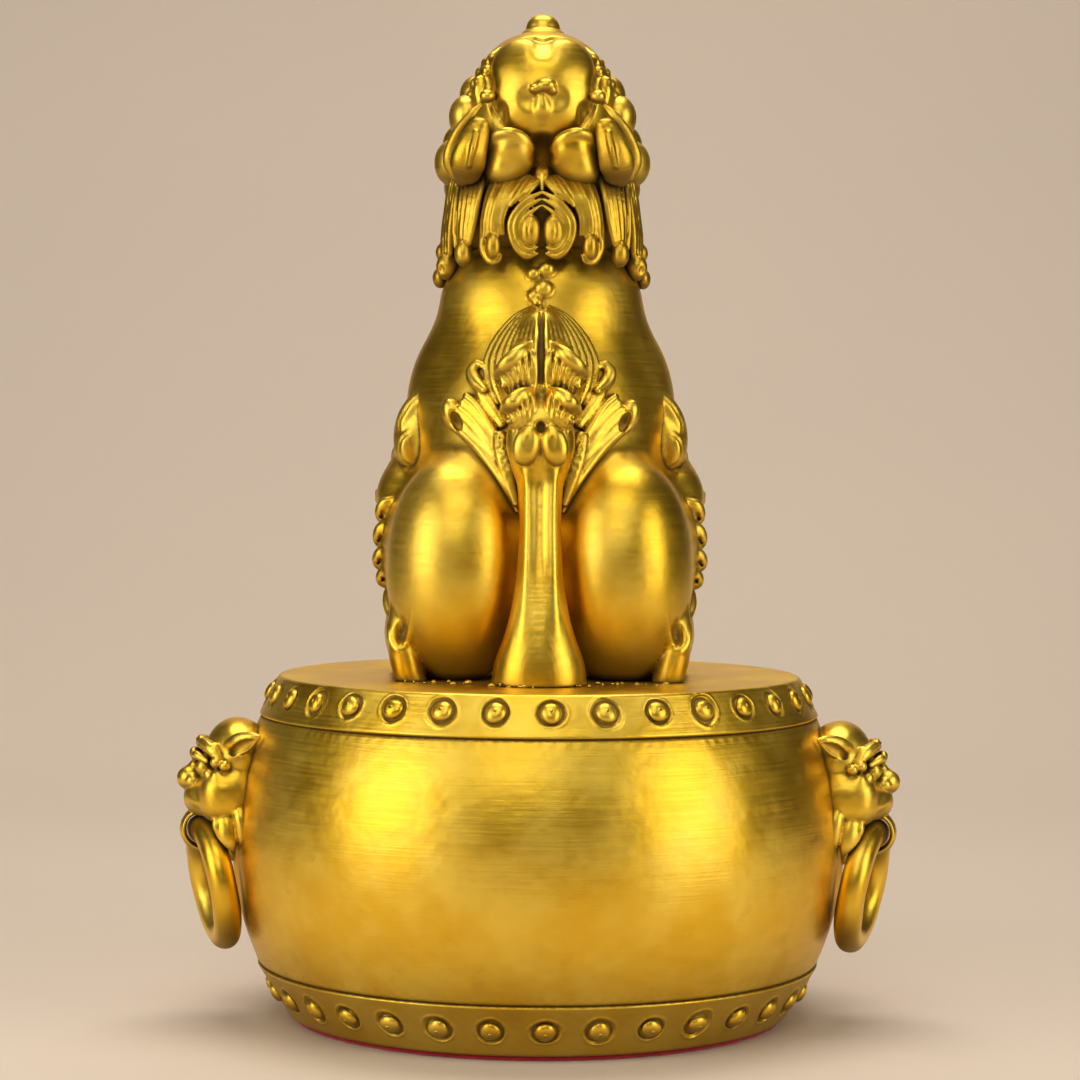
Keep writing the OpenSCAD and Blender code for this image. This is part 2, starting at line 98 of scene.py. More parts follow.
class Clay:
    """Strokes add to the shape or cut from it. Every stroke can be made on both sides of X = 0 at once."""

    def __init__(self, low, high, cell):
        self.cell = cell
        self.low = np.array(low, float)
        self.size = np.ceil((np.array(high, float) - self.low) / cell).astype(int) + 1
        self.field = np.full(self.size, FAR, np.float32)

    def window(self, low, high):
        """The slices and the coordinates of the cells inside a box."""
        a = np.clip(np.floor((np.array(low) - self.low) / self.cell).astype(int), 0, self.size)
        b = np.clip(np.ceil((np.array(high) - self.low) / self.cell).astype(int) + 1, 0, self.size)
        slices = tuple(slice(i, j) for i, j in zip(a, b))
        axes = [(self.low[n] + self.cell * np.arange(a[n], b[n])).astype(np.float32) for n in range(3)]
        return slices, (axes[0][:, None, None], axes[1][None, :, None], axes[2][None, None, :])

    def everywhere(self):
        return self.window(self.low, self.low + self.size * self.cell)[1]

    def merge(self, slices, found, k, cut):
        old = self.field[slices]
        self.field[slices] = smooth_max(old, -found, k) if cut else smooth_min(old, found, k)

    def egg(self, centre, radii, k=1.0, cut=False, both=False, turn=(0, 0, 0), power=2.0, margin=1.2):
        """An ellipsoid, or with a higher power a squarer one, turned by three angles in degrees. Its distance
        is kept out to the margin, which is wide where another block's shape blends with it."""
        if both:
            self.egg(mirrored(centre), radii, k, cut, False, (turn[0], -turn[1], -turn[2]), power,
                     margin)
        radii = np.broadcast_to(np.array(radii, float), 3)
        c = np.array(centre, float)
        reach = (radii.max() if any(turn) else radii) + k + margin
        slices, (x, y, z) = self.window(c - reach, c + reach)
        x, y, z = x - c[0], y - c[1], z - c[2]
        if any(turn):
            m = np.array((Matrix.Rotation(math.radians(turn[2]), 3, "Z")
                          @ Matrix.Rotation(math.radians(turn[1]), 3, "Y")
                          @ Matrix.Rotation(math.radians(turn[0]), 3, "X")).transposed(), np.float32)
            x, y, z = (m[n, 0] * x + m[n, 1] * y + m[n, 2] * z for n in range(3))
        if power == 2.0:
            u, v, w = x / radii[0], y / radii[1], z / radii[2]
            k0 = np.sqrt(u * u + v * v + w * w)
            k1 = np.sqrt((u / radii[0]) ** 2 + (v / radii[1]) ** 2 + (w / radii[2]) ** 2)
            found = k0 * (k0 - 1) / np.maximum(k1, 1e-4)
        else:
            u, v, w = np.abs(x / radii[0]), np.abs(y / radii[1]), np.abs(z / radii[2])
            k0 = np.maximum(u ** power + v ** power + w ** power, 1e-4) ** (1 / power)
            slope = np.sqrt((u ** (power - 1) / radii[0]) ** 2 + (v ** (power - 1) / radii[1]) ** 2
                            + (w ** (power - 1) / radii[2]) ** 2) * k0 ** (1 - power)
            found = (k0 - 1) / np.maximum(slope, 1e-3)
        self.merge(slices, found.astype(np.float32), k, cut)

    def strand(self, points, widths, k=0.6, cut=False, both=False, flat=1.0, out=(0, 1, 0),
               ridges=0, depth=0.35, steps=6):
        """A tapered tube along a smooth curve. flat is its thickness over its width, seen from out, and
        ridges is how many rounded ribs run along it."""
        facing = np.broadcast_to(np.array(out, float), (len(points), 3))
        rows = [(*p, w, *f) for p, w, f in zip(points, widths, facing)]
        if both:
            other = [(-r[0], r[1], r[2], r[3], -r[4], r[5], r[6]) for r in rows]
            self.swept(curve_through(other, steps), k, cut, flat, ridges, depth)
        self.swept(curve_through(rows, steps), k, cut, flat, ridges, depth)

    def swept(self, rows, k, cut, flat, ridges, depth):
        where, width, facing = rows[:, :3], np.maximum(rows[:, 3], 0.05), rows[:, 4:7]
        reach = width.max() + k + 1.0
        slices, axes = self.window(where.min(0) - reach, where.max(0) + reach)
        found = np.full([a.size for a in axes], FAR, np.float32)
        start = np.array([s.start for s in slices])
        for i in range(len(where) - 1):
            a, b = where[i], where[i + 1]
            near = max(width[i], width[i + 1]) + k + 0.8
            part, (x, y, z) = self.window(np.minimum(a, b) - near, np.maximum(a, b) + near)
            part = tuple(slice(s.start - o, s.stop - o) for s, o in zip(part, start))
            along = b - a
            length = np.linalg.norm(along)
            if length < 1e-6 or found[part].size == 0:
                continue
            along = along / length
            side = np.cross(along, facing[i])
            side = side / max(np.linalg.norm(side), 1e-6)
            up = np.cross(side, along)
            x, y, z = x - a[0], y - a[1], z - a[2]
            t = along[0] * x + along[1] * y + along[2] * z
            s = np.clip(t / length, 0, 1)
            rest = t - s * length
            u = side[0] * x + side[1] * y + side[2] * z
            v = up[0] * x + up[1] * y + up[2] * z
            r = width[i] + (width[i + 1] - width[i]) * s
            k0 = np.sqrt(u * u + (v * v + rest * rest) / (flat * flat)) / r
            d = (k0 - 1) * r * np.where(np.abs(u) > np.abs(v), 1, flat)
            d = np.minimum(d, (k0 - 1) * r)
            if ridges:
                rib = np.abs(np.sin(math.pi * ridges * 0.5 * (np.clip(u / r, -1, 1) + 1)))
                d = d - depth * (rib - 0.75) * (v > 0) * np.clip(r, 0, 1)
            found[part] = np.minimum(found[part], d.astype(np.float32))
        self.merge(slices, found, k, cut)

    def join(self, other):
        """Adds another block of the same size."""
        self.field = np.minimum(self.field, other.field)

    def cut_below(self, height):
        z = self.everywhere()[2]
        self.field = np.maximum(self.field, height - z)

    def roughen(self, amount, length):
        x, y, z = self.everywhere()
        self.field = self.field + np.float32(amount) * waves(x, y, z, length).astype(np.float32)

    def back(self, x, z, sink=0.0):
        """The y of the surface seen from behind at x and z, less how far a detail sinks into it."""
        i, k = (int(round((v - self.low[n]) / self.cell)) for v, n in ((x, 0), (z, 2)))
        inside = np.nonzero(self.field[i, :, k] <= 0)[0]
        return self.low[1] + self.cell * inside[-1] - sink if len(inside) else self.low[1]

    def side(self, y, z, sink=0.0):
        """The x of the surface seen from the lion's left at y and z."""
        j, k = (int(round((v - self.low[n]) / self.cell)) for v, n in ((y, 1), (z, 2)))
        inside = np.nonzero(self.field[:, j, k] <= 0)[0]
        return self.low[0] + self.cell * inside[-1] - sink if len(inside) else 0.0

    def piece(self, name, body, slot, nodes, material, raised=0.0, place=None, within=None):
        """The clay's surface as a closed mesh, with how enclosed each point is, by this clay or the whole it
        belongs to, kept for the material."""
        field = np.clip(self.field, -FAR, FAR)
        for n in range(3):
            edge = [slice(None)] * 3
            for edge[n] in (0, -1):
                field[tuple(edge)] = FAR
        grid = openvdb.FloatGrid(FAR)
        grid.copyFromArray(np.ascontiguousarray(field))
        points, faces = grid.convertToQuads(isovalue=0.0)
        hollow = enclosed(field if within is None else within.field, self.cell, points)
        points = points * self.cell + self.low + np.array((0, 0, raised))
        if place is not None:
            points = points @ np.array(place.to_3x3(), float).T + np.array(place.translation)
        make_piece(name, points, faces, body, nodes, material, hollow)


def blur(values, reach):
    """Mean of the values within reach cells, along each axis in turn."""
    for n in range(3):
        total = np.cumsum(values, axis=n, dtype=np.float32)
        size = values.shape[n]
        high = np.minimum(np.arange(size) + reach, size - 1)
        low = np.arange(size) - reach - 1
        before = np.take(total, np.maximum(low, 0), axis=n)
        shape = [1, 1, 1]
        shape[n] = size
        before = before * (low >= 0).astype(np.float32).reshape(shape)
        values = (np.take(total, high, axis=n) - before) / (2 * reach + 1)
    return values


def between(values, points):
    """Values at points counted in cells, found from the eight cells round each."""
    low = np.clip(np.floor(points).astype(int), 0, np.array(values.shape) - 2)
    part = np.clip(points - low, 0, 1).astype(np.float32)
    found = np.zeros(len(points), np.float32)
    for corner in range(8):
        step = [corner >> n & 1 for n in range(3)]
        share = np.prod([part[:, n] if step[n] else 1 - part[:, n] for n in range(3)], axis=0)
        found += share * values[low[:, 0] + step[0], low[:, 1] + step[1], low[:, 2] + step[2]]
    return found


def enclosed(field, cell, points):
    """How much metal is near each point: about 0.5 on a flat, more in a groove and less on an edge."""
    solid = np.clip(0.5 - field / cell, 0, 1).astype(np.float32)
    found = 0
    for reach, share in ((0.9, 0.5), (2.4, 0.5)):
        cells = max(1, int(round(reach / cell / 1.9)))
        found = found + share * between(blur(blur(solid, cells), cells), points)
    return found


def make_piece(name, points, faces, body, nodes, material, hollow=None):
    """A shaded mesh object in the row frame, from points in millimetres, that stands for CAD nodes."""
    mesh = bpy.data.meshes.new(name)
    points = np.asarray(points, np.float32) * MM
    faces = np.asarray(faces, np.int32)
    a, b, c = points[faces[:, 0]], points[faces[:, 1]], points[faces[:, 2]]
    if np.einsum("ij,ij->i", a, np.cross(b, c)).sum() < 0:
        faces = faces[:, ::-1]
    mesh.vertices.add(len(points))
    mesh.vertices.foreach_set("co", points.ravel())
    corners = faces.shape[1]
    mesh.loops.add(faces.size)
    mesh.loops.foreach_set("vertex_index", np.ascontiguousarray(faces).ravel())
    mesh.polygons.add(len(faces))
    mesh.polygons.foreach_set("loop_start", np.arange(0, faces.size, corners, dtype=np.int32))
    mesh.update(calc_edges=True)
    mesh.validate()
    mesh.shade_smooth()
    if hollow is None:
        hollow = np.full(len(points), 0.5)
    mesh.attributes.new("enclosed", "FLOAT", "POINT").data.foreach_set("value",
                                                                       hollow.astype(np.float32))
    mesh.materials.append(material)
    obj = bpy.data.objects.new(name, mesh)
    bpy.context.scene.collection.objects.link(obj)
    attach(obj, body)
    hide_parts(*nodes)


# ---- Materials ----

class Nodes:
    """A material's node tree, with a short call for each node that the finishes use."""

    def __init__(self, name):
        self.material = bpy.data.materials.new(name)
        self.material.use_nodes = True
        self.tree = self.material.node_tree
        self.shader = self.tree.nodes["Principled BSDF"]

    def add(self, kind, inputs=(), **settings):
        node = self.tree.nodes.new(kind)
        for key, value in settings.items():
            setattr(node, key, value)
        for key, value in dict(inputs).items():
            self.set(node.inputs[key], value)
        return node

    def set(self, socket, value):
        if isinstance(value, bpy.types.NodeSocket):
            self.tree.links.new(value, socket)
        else:
            socket.default_value = value

    def math(self, operation, a, b=0.0, clamp=False):
        return self.add("ShaderNodeMath", {0: a, 1: b}, operation=operation, use_clamp=clamp).outputs[0]

    def ramp(self, value, low, high, to_low=0.0, to_high=1.0):
        node = self.add("ShaderNodeMapRange", {"Value": value, "From Min": low, "From Max": high,
                                               "To Min": to_low, "To Max": to_high})
        node.interpolation_type = "SMOOTHSTEP"
        return node.outputs["Result"]

    def mix(self, factor, a, b):
        node = self.add("ShaderNodeMix", data_type="RGBA")
        for index, value in ((0, factor), (6, a), (7, b)):
            self.set(node.inputs[index], value)
        return node.outputs[2]

    def noise(self, scale, detail=2.0, roughness=0.5, stretch=(1, 1, 1)):
        """Noise whose scale is in waves per millimetre, stretched along the axes."""
        place = self.add("ShaderNodeTexCoord").outputs["Object"]
        size = [s * scale / MM for s in stretch]
        place = self.add("ShaderNodeMapping", {"Vector": place, "Scale": size}).outputs[0]
        inputs = {"Vector": place, "Scale": 1.0, "Detail": detail, "Roughness": roughness}
        return self.add("ShaderNodeTexNoise", inputs).outputs["Fac"]

    def bump(self, height, strength, distance, normal=None):
        inputs = {"Height": height, "Strength": strength, "Distance": distance * MM}
        if normal is not None:
            inputs["Normal"] = normal
        return self.add("ShaderNodeBump", inputs).outputs["Normal"]

    def finish(self, **sockets):
        for key, value in sockets.items():
            self.set(self.shader.inputs[key.replace("_", " ")], value)
        return self.material


GOLD = (0.84, 0.515, 0.035, 1)
PALE_GOLD = (0.94, 0.65, 0.085, 1)
DEEP_GOLD = (0.58, 0.33, 0.02, 1)
# A dark brown for soiling and for painted shade in hollows, crevices and undersides.
GRIME_AND_SHADE = (0.075, 0.038, 0.007, 1)


def brass(name, brushing=0.25, dirt_and_shade=1.0, roughness=0.38, pits=0.4, reach=2.5, aged=0.0):
    """Satin brass: brushed in level strokes, darker in its hollows with soiling and painted shade, darker
    with painted shade where it faces down, and brighter on its edges.
    """
    n = Nodes(name)
    hollow = n.add("ShaderNodeAttribute", attribute_name="enclosed").outputs["Fac"]
    shade = n.add("ShaderNodeAmbientOcclusion", {"Distance": reach * MM}, samples=6).outputs["AO"]
    speckle = n.noise(0.9, 4.0, 0.65)
    hollow = n.math("ADD", hollow, n.ramp(speckle, 0.3, 0.7, -0.03, 0.03))
    # Grooves darken: partly soiling, partly painted shade.
    groove = n.ramp(hollow, 0.54, 0.68)
    # Painted shade: ambient occlusion darkens crevices and the gaps between parts.
    painted_crevice_shade = n.ramp(shade, 0.25, 0.88, 1.0, 0.0)
    # Painted shade: surfaces that face down are darkened, as if less light reached them.
    facing = n.add("ShaderNodeTexCoord").outputs["Normal"]
    upward = n.add("ShaderNodeSeparateXYZ", {0: facing}).outputs["Z"]
    painted_underside_shade = n.ramp(upward, -0.15, -0.75, 0.0, 0.72)
    # Soiling and painted shade together: the strongest of the three masks, scaled by the material's amount.
    grime_and_shade = n.math("MAXIMUM", n.math("MAXIMUM", groove, painted_crevice_shade), painted_underside_shade)
    grime_and_shade = n.math("MULTIPLY", grime_and_shade, 0.85 * dirt_and_shade, clamp=True)
    edge = n.ramp(hollow, 0.46, 0.34)
    patch = n.noise(0.07, 3.0, 0.55)
    colour = n.mix(n.ramp(patch, 0.35, 0.7), GOLD, PALE_GOLD)
    colour = n.mix(n.math("MULTIPLY", edge, 0.6), colour, PALE_GOLD)
    tarnish = n.ramp(n.noise(0.16, 5.0, 0.6), 0.56 - aged, 0.78 - aged)
    colour = n.mix(n.math("MULTIPLY", tarnish, 0.35 + aged), colour, DEEP_GOLD)
    # Hollows, crevices and undersides take the dark brown: soiling and painted shade.
    colour = n.mix(n.math("POWER", grime_and_shade, 0.75), colour, GRIME_AND_SHADE)
    strokes = n.noise(1.0, 3.0, 0.6, (0.06, 0.06, 2.6))
    fine = n.noise(1.0, 2.0, 0.5, (0.5, 0.5, 7.0))
    grain = n.noise(4.5, 2.0, 0.6)
    holes = n.ramp(n.noise(0.5, 1.0, 0.3), 0.20, 0.13)
    normal = n.bump(n.noise(0.22, 2.0, 0.5), 0.25, 0.5)
    normal = n.bump(strokes, brushing, 0.10, normal)
    normal = n.bump(fine, brushing, 0.03, normal)
    normal = n.bump(grain, 0.25, 0.03, normal)
    normal = n.bump(holes, -pits, 0.15, normal)
    gloss = n.ramp(patch, 0.3, 0.7, roughness - 0.03, roughness + 0.05)
    gloss = n.math("ADD", gloss, n.ramp(strokes, 0.3, 0.7, -0.03, 0.04))
    gloss = n.math("ADD", gloss, n.math("MULTIPLY", grime_and_shade, 0.3))
    metal = n.math("SUBTRACT", 1.0, n.math("MULTIPLY", grime_and_shade, 0.45))
    return n.finish(Base_Color=colour, Roughness=gloss, Metallic=metal, Normal=normal)


def plain_metal(name, colour, roughness):
    """Screws and hidden plates: a machined metal with fine marks."""
    n = Nodes(name)
    marks = n.noise(1.2, 4.0, 0.6, (1, 1, 0.2))
    darker = tuple(c * 0.6 for c in colour[:3]) + (1,)
    tone = n.mix(n.ramp(marks, 0.35, 0.7), colour, darker)
    gloss = n.ramp(marks, 0.3, 0.7, roughness - 0.05, roughness + 0.1)
    normal = n.bump(n.noise(5.0, 2.0), 0.3, 0.03)
    return n.finish(Base_Color=tone, Roughness=gloss, Metallic=1.0, Normal=normal)


def felt(name):
    """Red pressed wool."""
    n = Nodes(name)
    fibres = n.noise(3.0, 5.0, 0.7)
    tone = n.mix(n.ramp(fibres, 0.3, 0.7), (0.30, 0.004, 0.012, 1), (0.55, 0.015, 0.03, 1))
    normal = n.bump(fibres, 0.8, 0.25)
    return n.finish(Base_Color=tone, Roughness=0.95, Sheen_Weight=0.4, Sheen_Roughness=0.4,
                    Normal=normal)


def pale_surface(name, colour):
    """The studio's paper: an even tone with the faintest unevenness."""
    n = Nodes(name)
    tone = n.mix(n.ramp(n.noise(0.004, 2.0), 0.3, 0.7), colour,
                 tuple(c * 0.97 for c in colour[:3]) + (1,))
    return n.finish(Base_Color=tone, Roughness=0.75)


CAST = brass("cast_brass", brushing=0.16)
RELIEF = brass("relief_brass", brushing=0.08, roughness=0.35, pits=0.25, reach=2.0)
# For the mane and ears: more tarnish, and more painted shade from a wider ambient occlusion reach.
TARNISHED_AND_SHADED = brass("tarnished_and_shaded_brass", brushing=0.08, dirt_and_shade=1.12, pits=0.25, reach=5.5, aged=0.28)
DRUM = brass("drum_brass", brushing=0.35, dirt_and_shade=0.9, roughness=0.37, pits=0.35, reach=1.6)
DULL = plain_metal("dull_brass", (0.42, 0.27, 0.07, 1), 0.5)
STEEL = plain_metal("steel_screw", (0.52, 0.52, 0.54, 1), 0.35)
FELT = felt("red_felt")


# ---- Studio ----

LENS = 100.8
SENSOR = 36
CAMERA_PLACE = (0.0, 0.605, 0.1132)
CAMERA_TILT = 1.72
CAMERA_ROLL = 0.35
SOFT_WHITE = (1.0, 0.96, 0.88)
SOFT_BOXES = (
    ("left_box", (0.58, 0.38, 0.28), (0.46, 0.55), 2.1, SOFT_WHITE),
    ("right_box", (-0.56, 0.36, 0.26), (0.40, 0.55), 1.7, SOFT_WHITE),
    ("top_box", (0.02, 0.46, 0.80), (0.55, 0.30), 1.3, SOFT_WHITE),
    ("front_box", (0.10, 0.72, 0.50), (0.42, 0.20), 0.75, SOFT_WHITE),
    ("wall_box", (0.0, -0.26, 1.25), (0.9, 0.6), 9.0, (1.0, 0.94, 0.87)),
)
LIT_POINT = (0, 0, 0.08)


def studio():
    """The camera at the object's back, a pale floor that curves up into a wall, and soft boxes."""
    camera = bpy.data.objects.new("camera", bpy.data.cameras.new("camera"))
    camera.data.lens = LENS
    camera.data.sensor_width = SENSOR
    camera.location = CAMERA_PLACE
    camera.rotation_mode = "XYZ"
    down, roll = math.radians(90 - CAMERA_TILT), math.radians(CAMERA_ROLL)
    turn = Matrix.Rotation(math.pi, 4, "Z") @ Matrix.Rotation(down, 4, "X") @ Matrix.Rotation(roll, 4,
                                                                                              "Z")
    camera.rotation_euler = turn.to_euler("XYZ")
    bpy.context.scene.collection.objects.link(camera)
    bpy.context.scene.camera = camera
    backdrop()
    for box in SOFT_BOXES:
        soft_box(*box)
    world = bpy.data.worlds.new("world")
    world.use_nodes = True
    world.node_tree.nodes["Background"].inputs["Color"].default_value = (1.0, 0.80, 0.58, 1)
    world.node_tree.nodes["Background"].inputs["Strength"].default_value = 0.05
    bpy.context.scene.world = world
    bpy.context.scene.view_settings.view_transform = "Standard"


def soft_box(name, place, size, power, colour):
    """A rectangular area light that faces the object."""
    lamp = bpy.data.lights.new(name, "AREA")
    lamp.shape = "RECTANGLE"
    lamp.size, lamp.size_y = size
    lamp.energy = power
    lamp.color = colour
    box = bpy.data.objects.new(name, lamp)
    box.location = place
    aim = Vector(LIT_POINT) - Vector(place)
    box.rotation_mode = "QUATERNION"
    box.rotation_quaternion = aim.to_track_quat("-Z", "Y")
    bpy.context.scene.collection.objects.link(box)


def backdrop():
    """One sheet: a floor, a wide bend and a wall behind the object, in metres."""
    near, middle, far, bend, width, top = 1.2, 0.5, -0.86, 0.50, 0.46, 1.1
    rows = [(near, 0.0), (middle, 0.0), (far + bend, 0.0)]
    steps = 24
    for i in range(1, steps + 1):
        a = math.pi / 2 * i / steps
        rows.append((far + bend - bend * math.sin(a), bend - bend * math.cos(a)))
    rows.append((far, top))
    columns = np.linspace(-width, width, 9)
    points = [(x, y, z) for y, z in rows for x in columns]
    n = len(columns)
    quads = [(r * n + c, r * n + c + 1, (r + 1) * n + c + 1, (r + 1) * n + c)
             for r in range(len(rows) - 1) for c in range(n - 1)]
    mesh = bpy.data.meshes.new("backdrop")
    mesh.from_pydata(points, [], quads)
    mesh.shade_smooth()
    mesh.materials.append(pale_surface("studio_paper", (0.755, 0.645, 0.535, 1)))
    sheet = bpy.data.objects.new("backdrop", mesh)
    bpy.context.scene.collection.objects.link(sheet)


# ---- Drum ----

def closed_faces(rows, columns):
    """The four-sided faces of a grid of points whose last row and column join its first."""
    i, j = np.meshgrid(np.arange(rows), np.arange(columns), indexing="ij")
    i2, j2 = (i + 1) % rows, (j + 1) % columns
    corners = [i * columns + j, i * columns + j2, i2 * columns + j2, i2 * columns + j]
    return np.stack(corners, -1).reshape(-1, 4)


def lathe(profile, around, shift=None):
    """A closed ring surface from (radius, z) points in a closed loop. shift gives each point its final
    radius and height from its radius, height and turn."""
    profile = np.array(profile, float)
    angle = np.linspace(0, 2 * math.pi, around, endpoint=False)
    radius, turn = np.meshgrid(profile[:, 0], angle, indexing="ij")
    height = np.repeat(profile[:, 1][:, None], around, axis=1)
    if shift is not None:
        radius, height = shift(radius, height, turn)
    points = np.stack([radius * np.cos(turn), radius * np.sin(turn), height], axis=-1).reshape(-1, 3)
    return points, closed_faces(len(profile), around)


def dense(points, step):
    """The points of a path, with more in between so that none are more than step apart."""
    rows = []
    for a, b in zip(points, points[1:]):
        count = max(1, int(math.ceil(math.dist(a, b) / step)))
        rows += [(a[0] + (b[0] - a[0]) * i / count, a[1] + (b[1] - a[1]) * i / count) for i in range(count)]
    return rows + [tuple(points[-1])]


BARREL_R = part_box("drum_barrel")[1].x / MM
BULGE_R = 56.0
BULGE_Z = 35.5
UPPER_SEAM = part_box("drum_barrel")[1].z / MM
LOWER_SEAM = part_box("drum_barrel")[0].z / MM
WALL = 2.8
NAIL_COUNT = 33
NAIL_R = 1.9
UPPER_NAILS = dict(z=64.9, phase=0.47)
LOWER_NAILS = dict(z=6.2, phase=0.40)
TOP_R = 51.3
EDGE_R = 0.9
FOOT_R = 49.8
FELT_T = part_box("felt_pad")[1].z / MM


def barrel_at(z, inset=0.0):
    """The barrel's outer radius at a height, or the radius of what is inset from it."""
    return BARREL_R - BULGE_R + math.sqrt((BULGE_R - inset) ** 2 - (z - BULGE_Z) ** 2)


def hand_worked(radius, height, turn):
    """The barrel isn't quite round: soft dents, and a tool's chatter beside each seam."""
    x, y = radius * np.cos(turn), radius * np.sin(turn)
    outer = radius > np.array([barrel_at(z, WALL / 2) for z in height[:, 0]])[:, None]
    low = 0.09 * waves(x, y, height, 34.0) + 0.035 * waves(x + 9, y, height * 1.5, 13.0)
    inside = np.minimum(np.abs(height - UPPER_SEAM + 0.9), np.abs(height - LOWER_SEAM - 0.9))
    lip = np.exp(-(inside / 0.5) ** 2)
    chatter = 0.05 * lip * np.sin(turn * 140 + 3 * np.sin(turn * 9))
    return radius + outer * (low + chatter), height


def drum_barrel():
    """The hollow bulging wall, open at both ends."""
    edge = 0.35
    z = np.linspace(UPPER_SEAM - edge, LOWER_SEAM + edge, 120)
    outer = [(barrel_at(h), h) for h in z]
    inner = [(barrel_at(h, WALL), h) for h in z[::-6]]
    top = [(inner[-1][0], UPPER_SEAM), (outer[0][0] - edge, UPPER_SEAM)]
    bottom = [(outer[-1][0] - edge, LOWER_SEAM), (inner[0][0], LOWER_SEAM)]
    points, faces = lathe([*outer, *bottom, *inner, *top], 600, hand_worked)
    near_seam = np.minimum(np.abs(points[:, 2] - UPPER_SEAM), np.abs(points[:, 2] - LOWER_SEAM))
    # Near the seams the points count as enclosed, so they darken: soiling and painted shade.
    hollow = 0.5 + 0.2 * np.exp(-(near_seam / 0.45) ** 2)
    make_piece("drum_barrel_skin", points, faces, "statue", ["drum_barrel"], DRUM, hollow)


def punched(z, phase, slope_r, lean):
    """A shift for a lathed band: a ring groove round each nail, each a little different. lean is how much the
    band's radius grows for each millimetre down."""
    pitch = 2 * math.pi / NAIL_COUNT

    def shift(radius, height, turn):
        index = np.floor(turn / pitch - phase + 0.5)
        across = (turn - (index + phase) * pitch) * radius
        up = (height - z) * math.sqrt(1 + lean * lean)
        face = radius > slope_r + (z - height) * lean - 1.0
        bearing = np.arctan2(up, across)
        size = 1 + 0.05 * np.sin(index * 2.4) + 0.03 * np.sin(2 * bearing + index * 1.7)
        r = np.hypot(across, up * (1 + 0.06 * np.sin(index * 3.3))) / size
        r = r + 0.05 * np.sin(5 * bearing + index * 5.1)
        groove = np.exp(-((r - 2.35) / 0.38) ** 4)
        lip = np.exp(-((r - 3.05) / 0.22) ** 2)
        chips = 1 + 0.35 * np.sin(11 * bearing + index * 2.9) * np.sin(4 * bearing - index)
        rough = 0.03 * waves(radius * np.cos(turn), radius * np.sin(turn), height, 7.0)
        return radius + face * (rough - 0.5 * groove + 0.14 * lip * chips), height

    return shift


def groove_shade(points, z, phase):
    """How enclosed a band's points are: the bottoms of the ring grooves and the seams take soiling and
    painted shade.
    """
    pitch = 2 * math.pi / NAIL_COUNT
    turn = np.arctan2(points[:, 1], points[:, 0]) % (2 * math.pi)
    index = np.floor(turn / pitch - phase + 0.5)
    across = (turn - (index + phase) * pitch) * np.hypot(points[:, 0], points[:, 1])
    r = np.hypot(across, (points[:, 2] - z) * 1.15)
    return 0.5 + 0.24 * np.exp(-((r - 2.3) / 0.42) ** 2) - 0.12 * np.exp(-((r - 3.05) / 0.25) ** 2)


def band_faces(profile, around, z, phase, lean, slope_r):
    """A lathed nail band, with how enclosed its points are."""
    points, faces = lathe(profile, around, punched(z, phase, slope_r, lean))
    hollow = groove_shade(points, z, phase)
    # The seams count as enclosed too, so they darken: soiling and painted shade.
    for seam in (UPPER_SEAM, LOWER_SEAM):
        hollow = hollow + 0.18 * np.exp(-((points[:, 2] - seam) / 0.35) ** 2)
    return points, faces, hollow


def drum_top_cap():
    """The top's disc, its rounded edge, the nailed slope and the spigot into the barrel."""
    seam_r = barrel_at(UPPER_SEAM)
    low = UPPER_SEAM + 0.6
    lean = (seam_r + 0.3 - TOP_R - EDGE_R) / (SEAT_Z - EDGE_R - low)
    slope_r = TOP_R + EDGE_R + (SEAT_Z - EDGE_R - UPPER_NAILS["z"]) * lean
    spigot = barrel_at(UPPER_SEAM, WALL) - 0.05
    edge = [(TOP_R + EDGE_R * math.sin(a), SEAT_Z - EDGE_R + EDGE_R * math.cos(a))
            for a in np.linspace(0, math.pi / 2 - 0.4, 7)]
    slope = dense([(TOP_R + EDGE_R * 0.98, SEAT_Z - EDGE_R * 0.75), (seam_r + 0.3, low)], 0.28)
    top = [(0.02, SEAT_Z)] + dense([(4, SEAT_Z), (TOP_R - 0.1, SEAT_Z)], 1.6)
    lower = [(seam_r + 0.32, low - 0.2), (seam_r + 0.05, UPPER_SEAM + 0.1), (seam_r - 0.5, UPPER_SEAM)]
    inside = [(spigot, UPPER_SEAM), (spigot - 1, UPPER_SEAM - 3), (spigot - WALL, UPPER_SEAM - 3),
              (spigot - WALL, SEAT_Z - 4.5), (spigot - WALL - 1.5, SEAT_Z - WALL), (0.02, SEAT_Z - WALL)]
    points, faces, hollow = band_faces([*top, *edge, *slope, *lower, *inside], 1200,
                                       UPPER_NAILS["z"], UPPER_NAILS["phase"], lean, slope_r)
    hollow[points[:, 2] > SEAT_Z - 0.5] = 0.5
    make_piece("drum_top_cap_skin", points, faces, "statue", ["drum_top_cap"], DRUM,
               hollow)
    nails("upper_nails", "upper_drum_nails", UPPER_NAILS, slope_r, math.atan(lean))


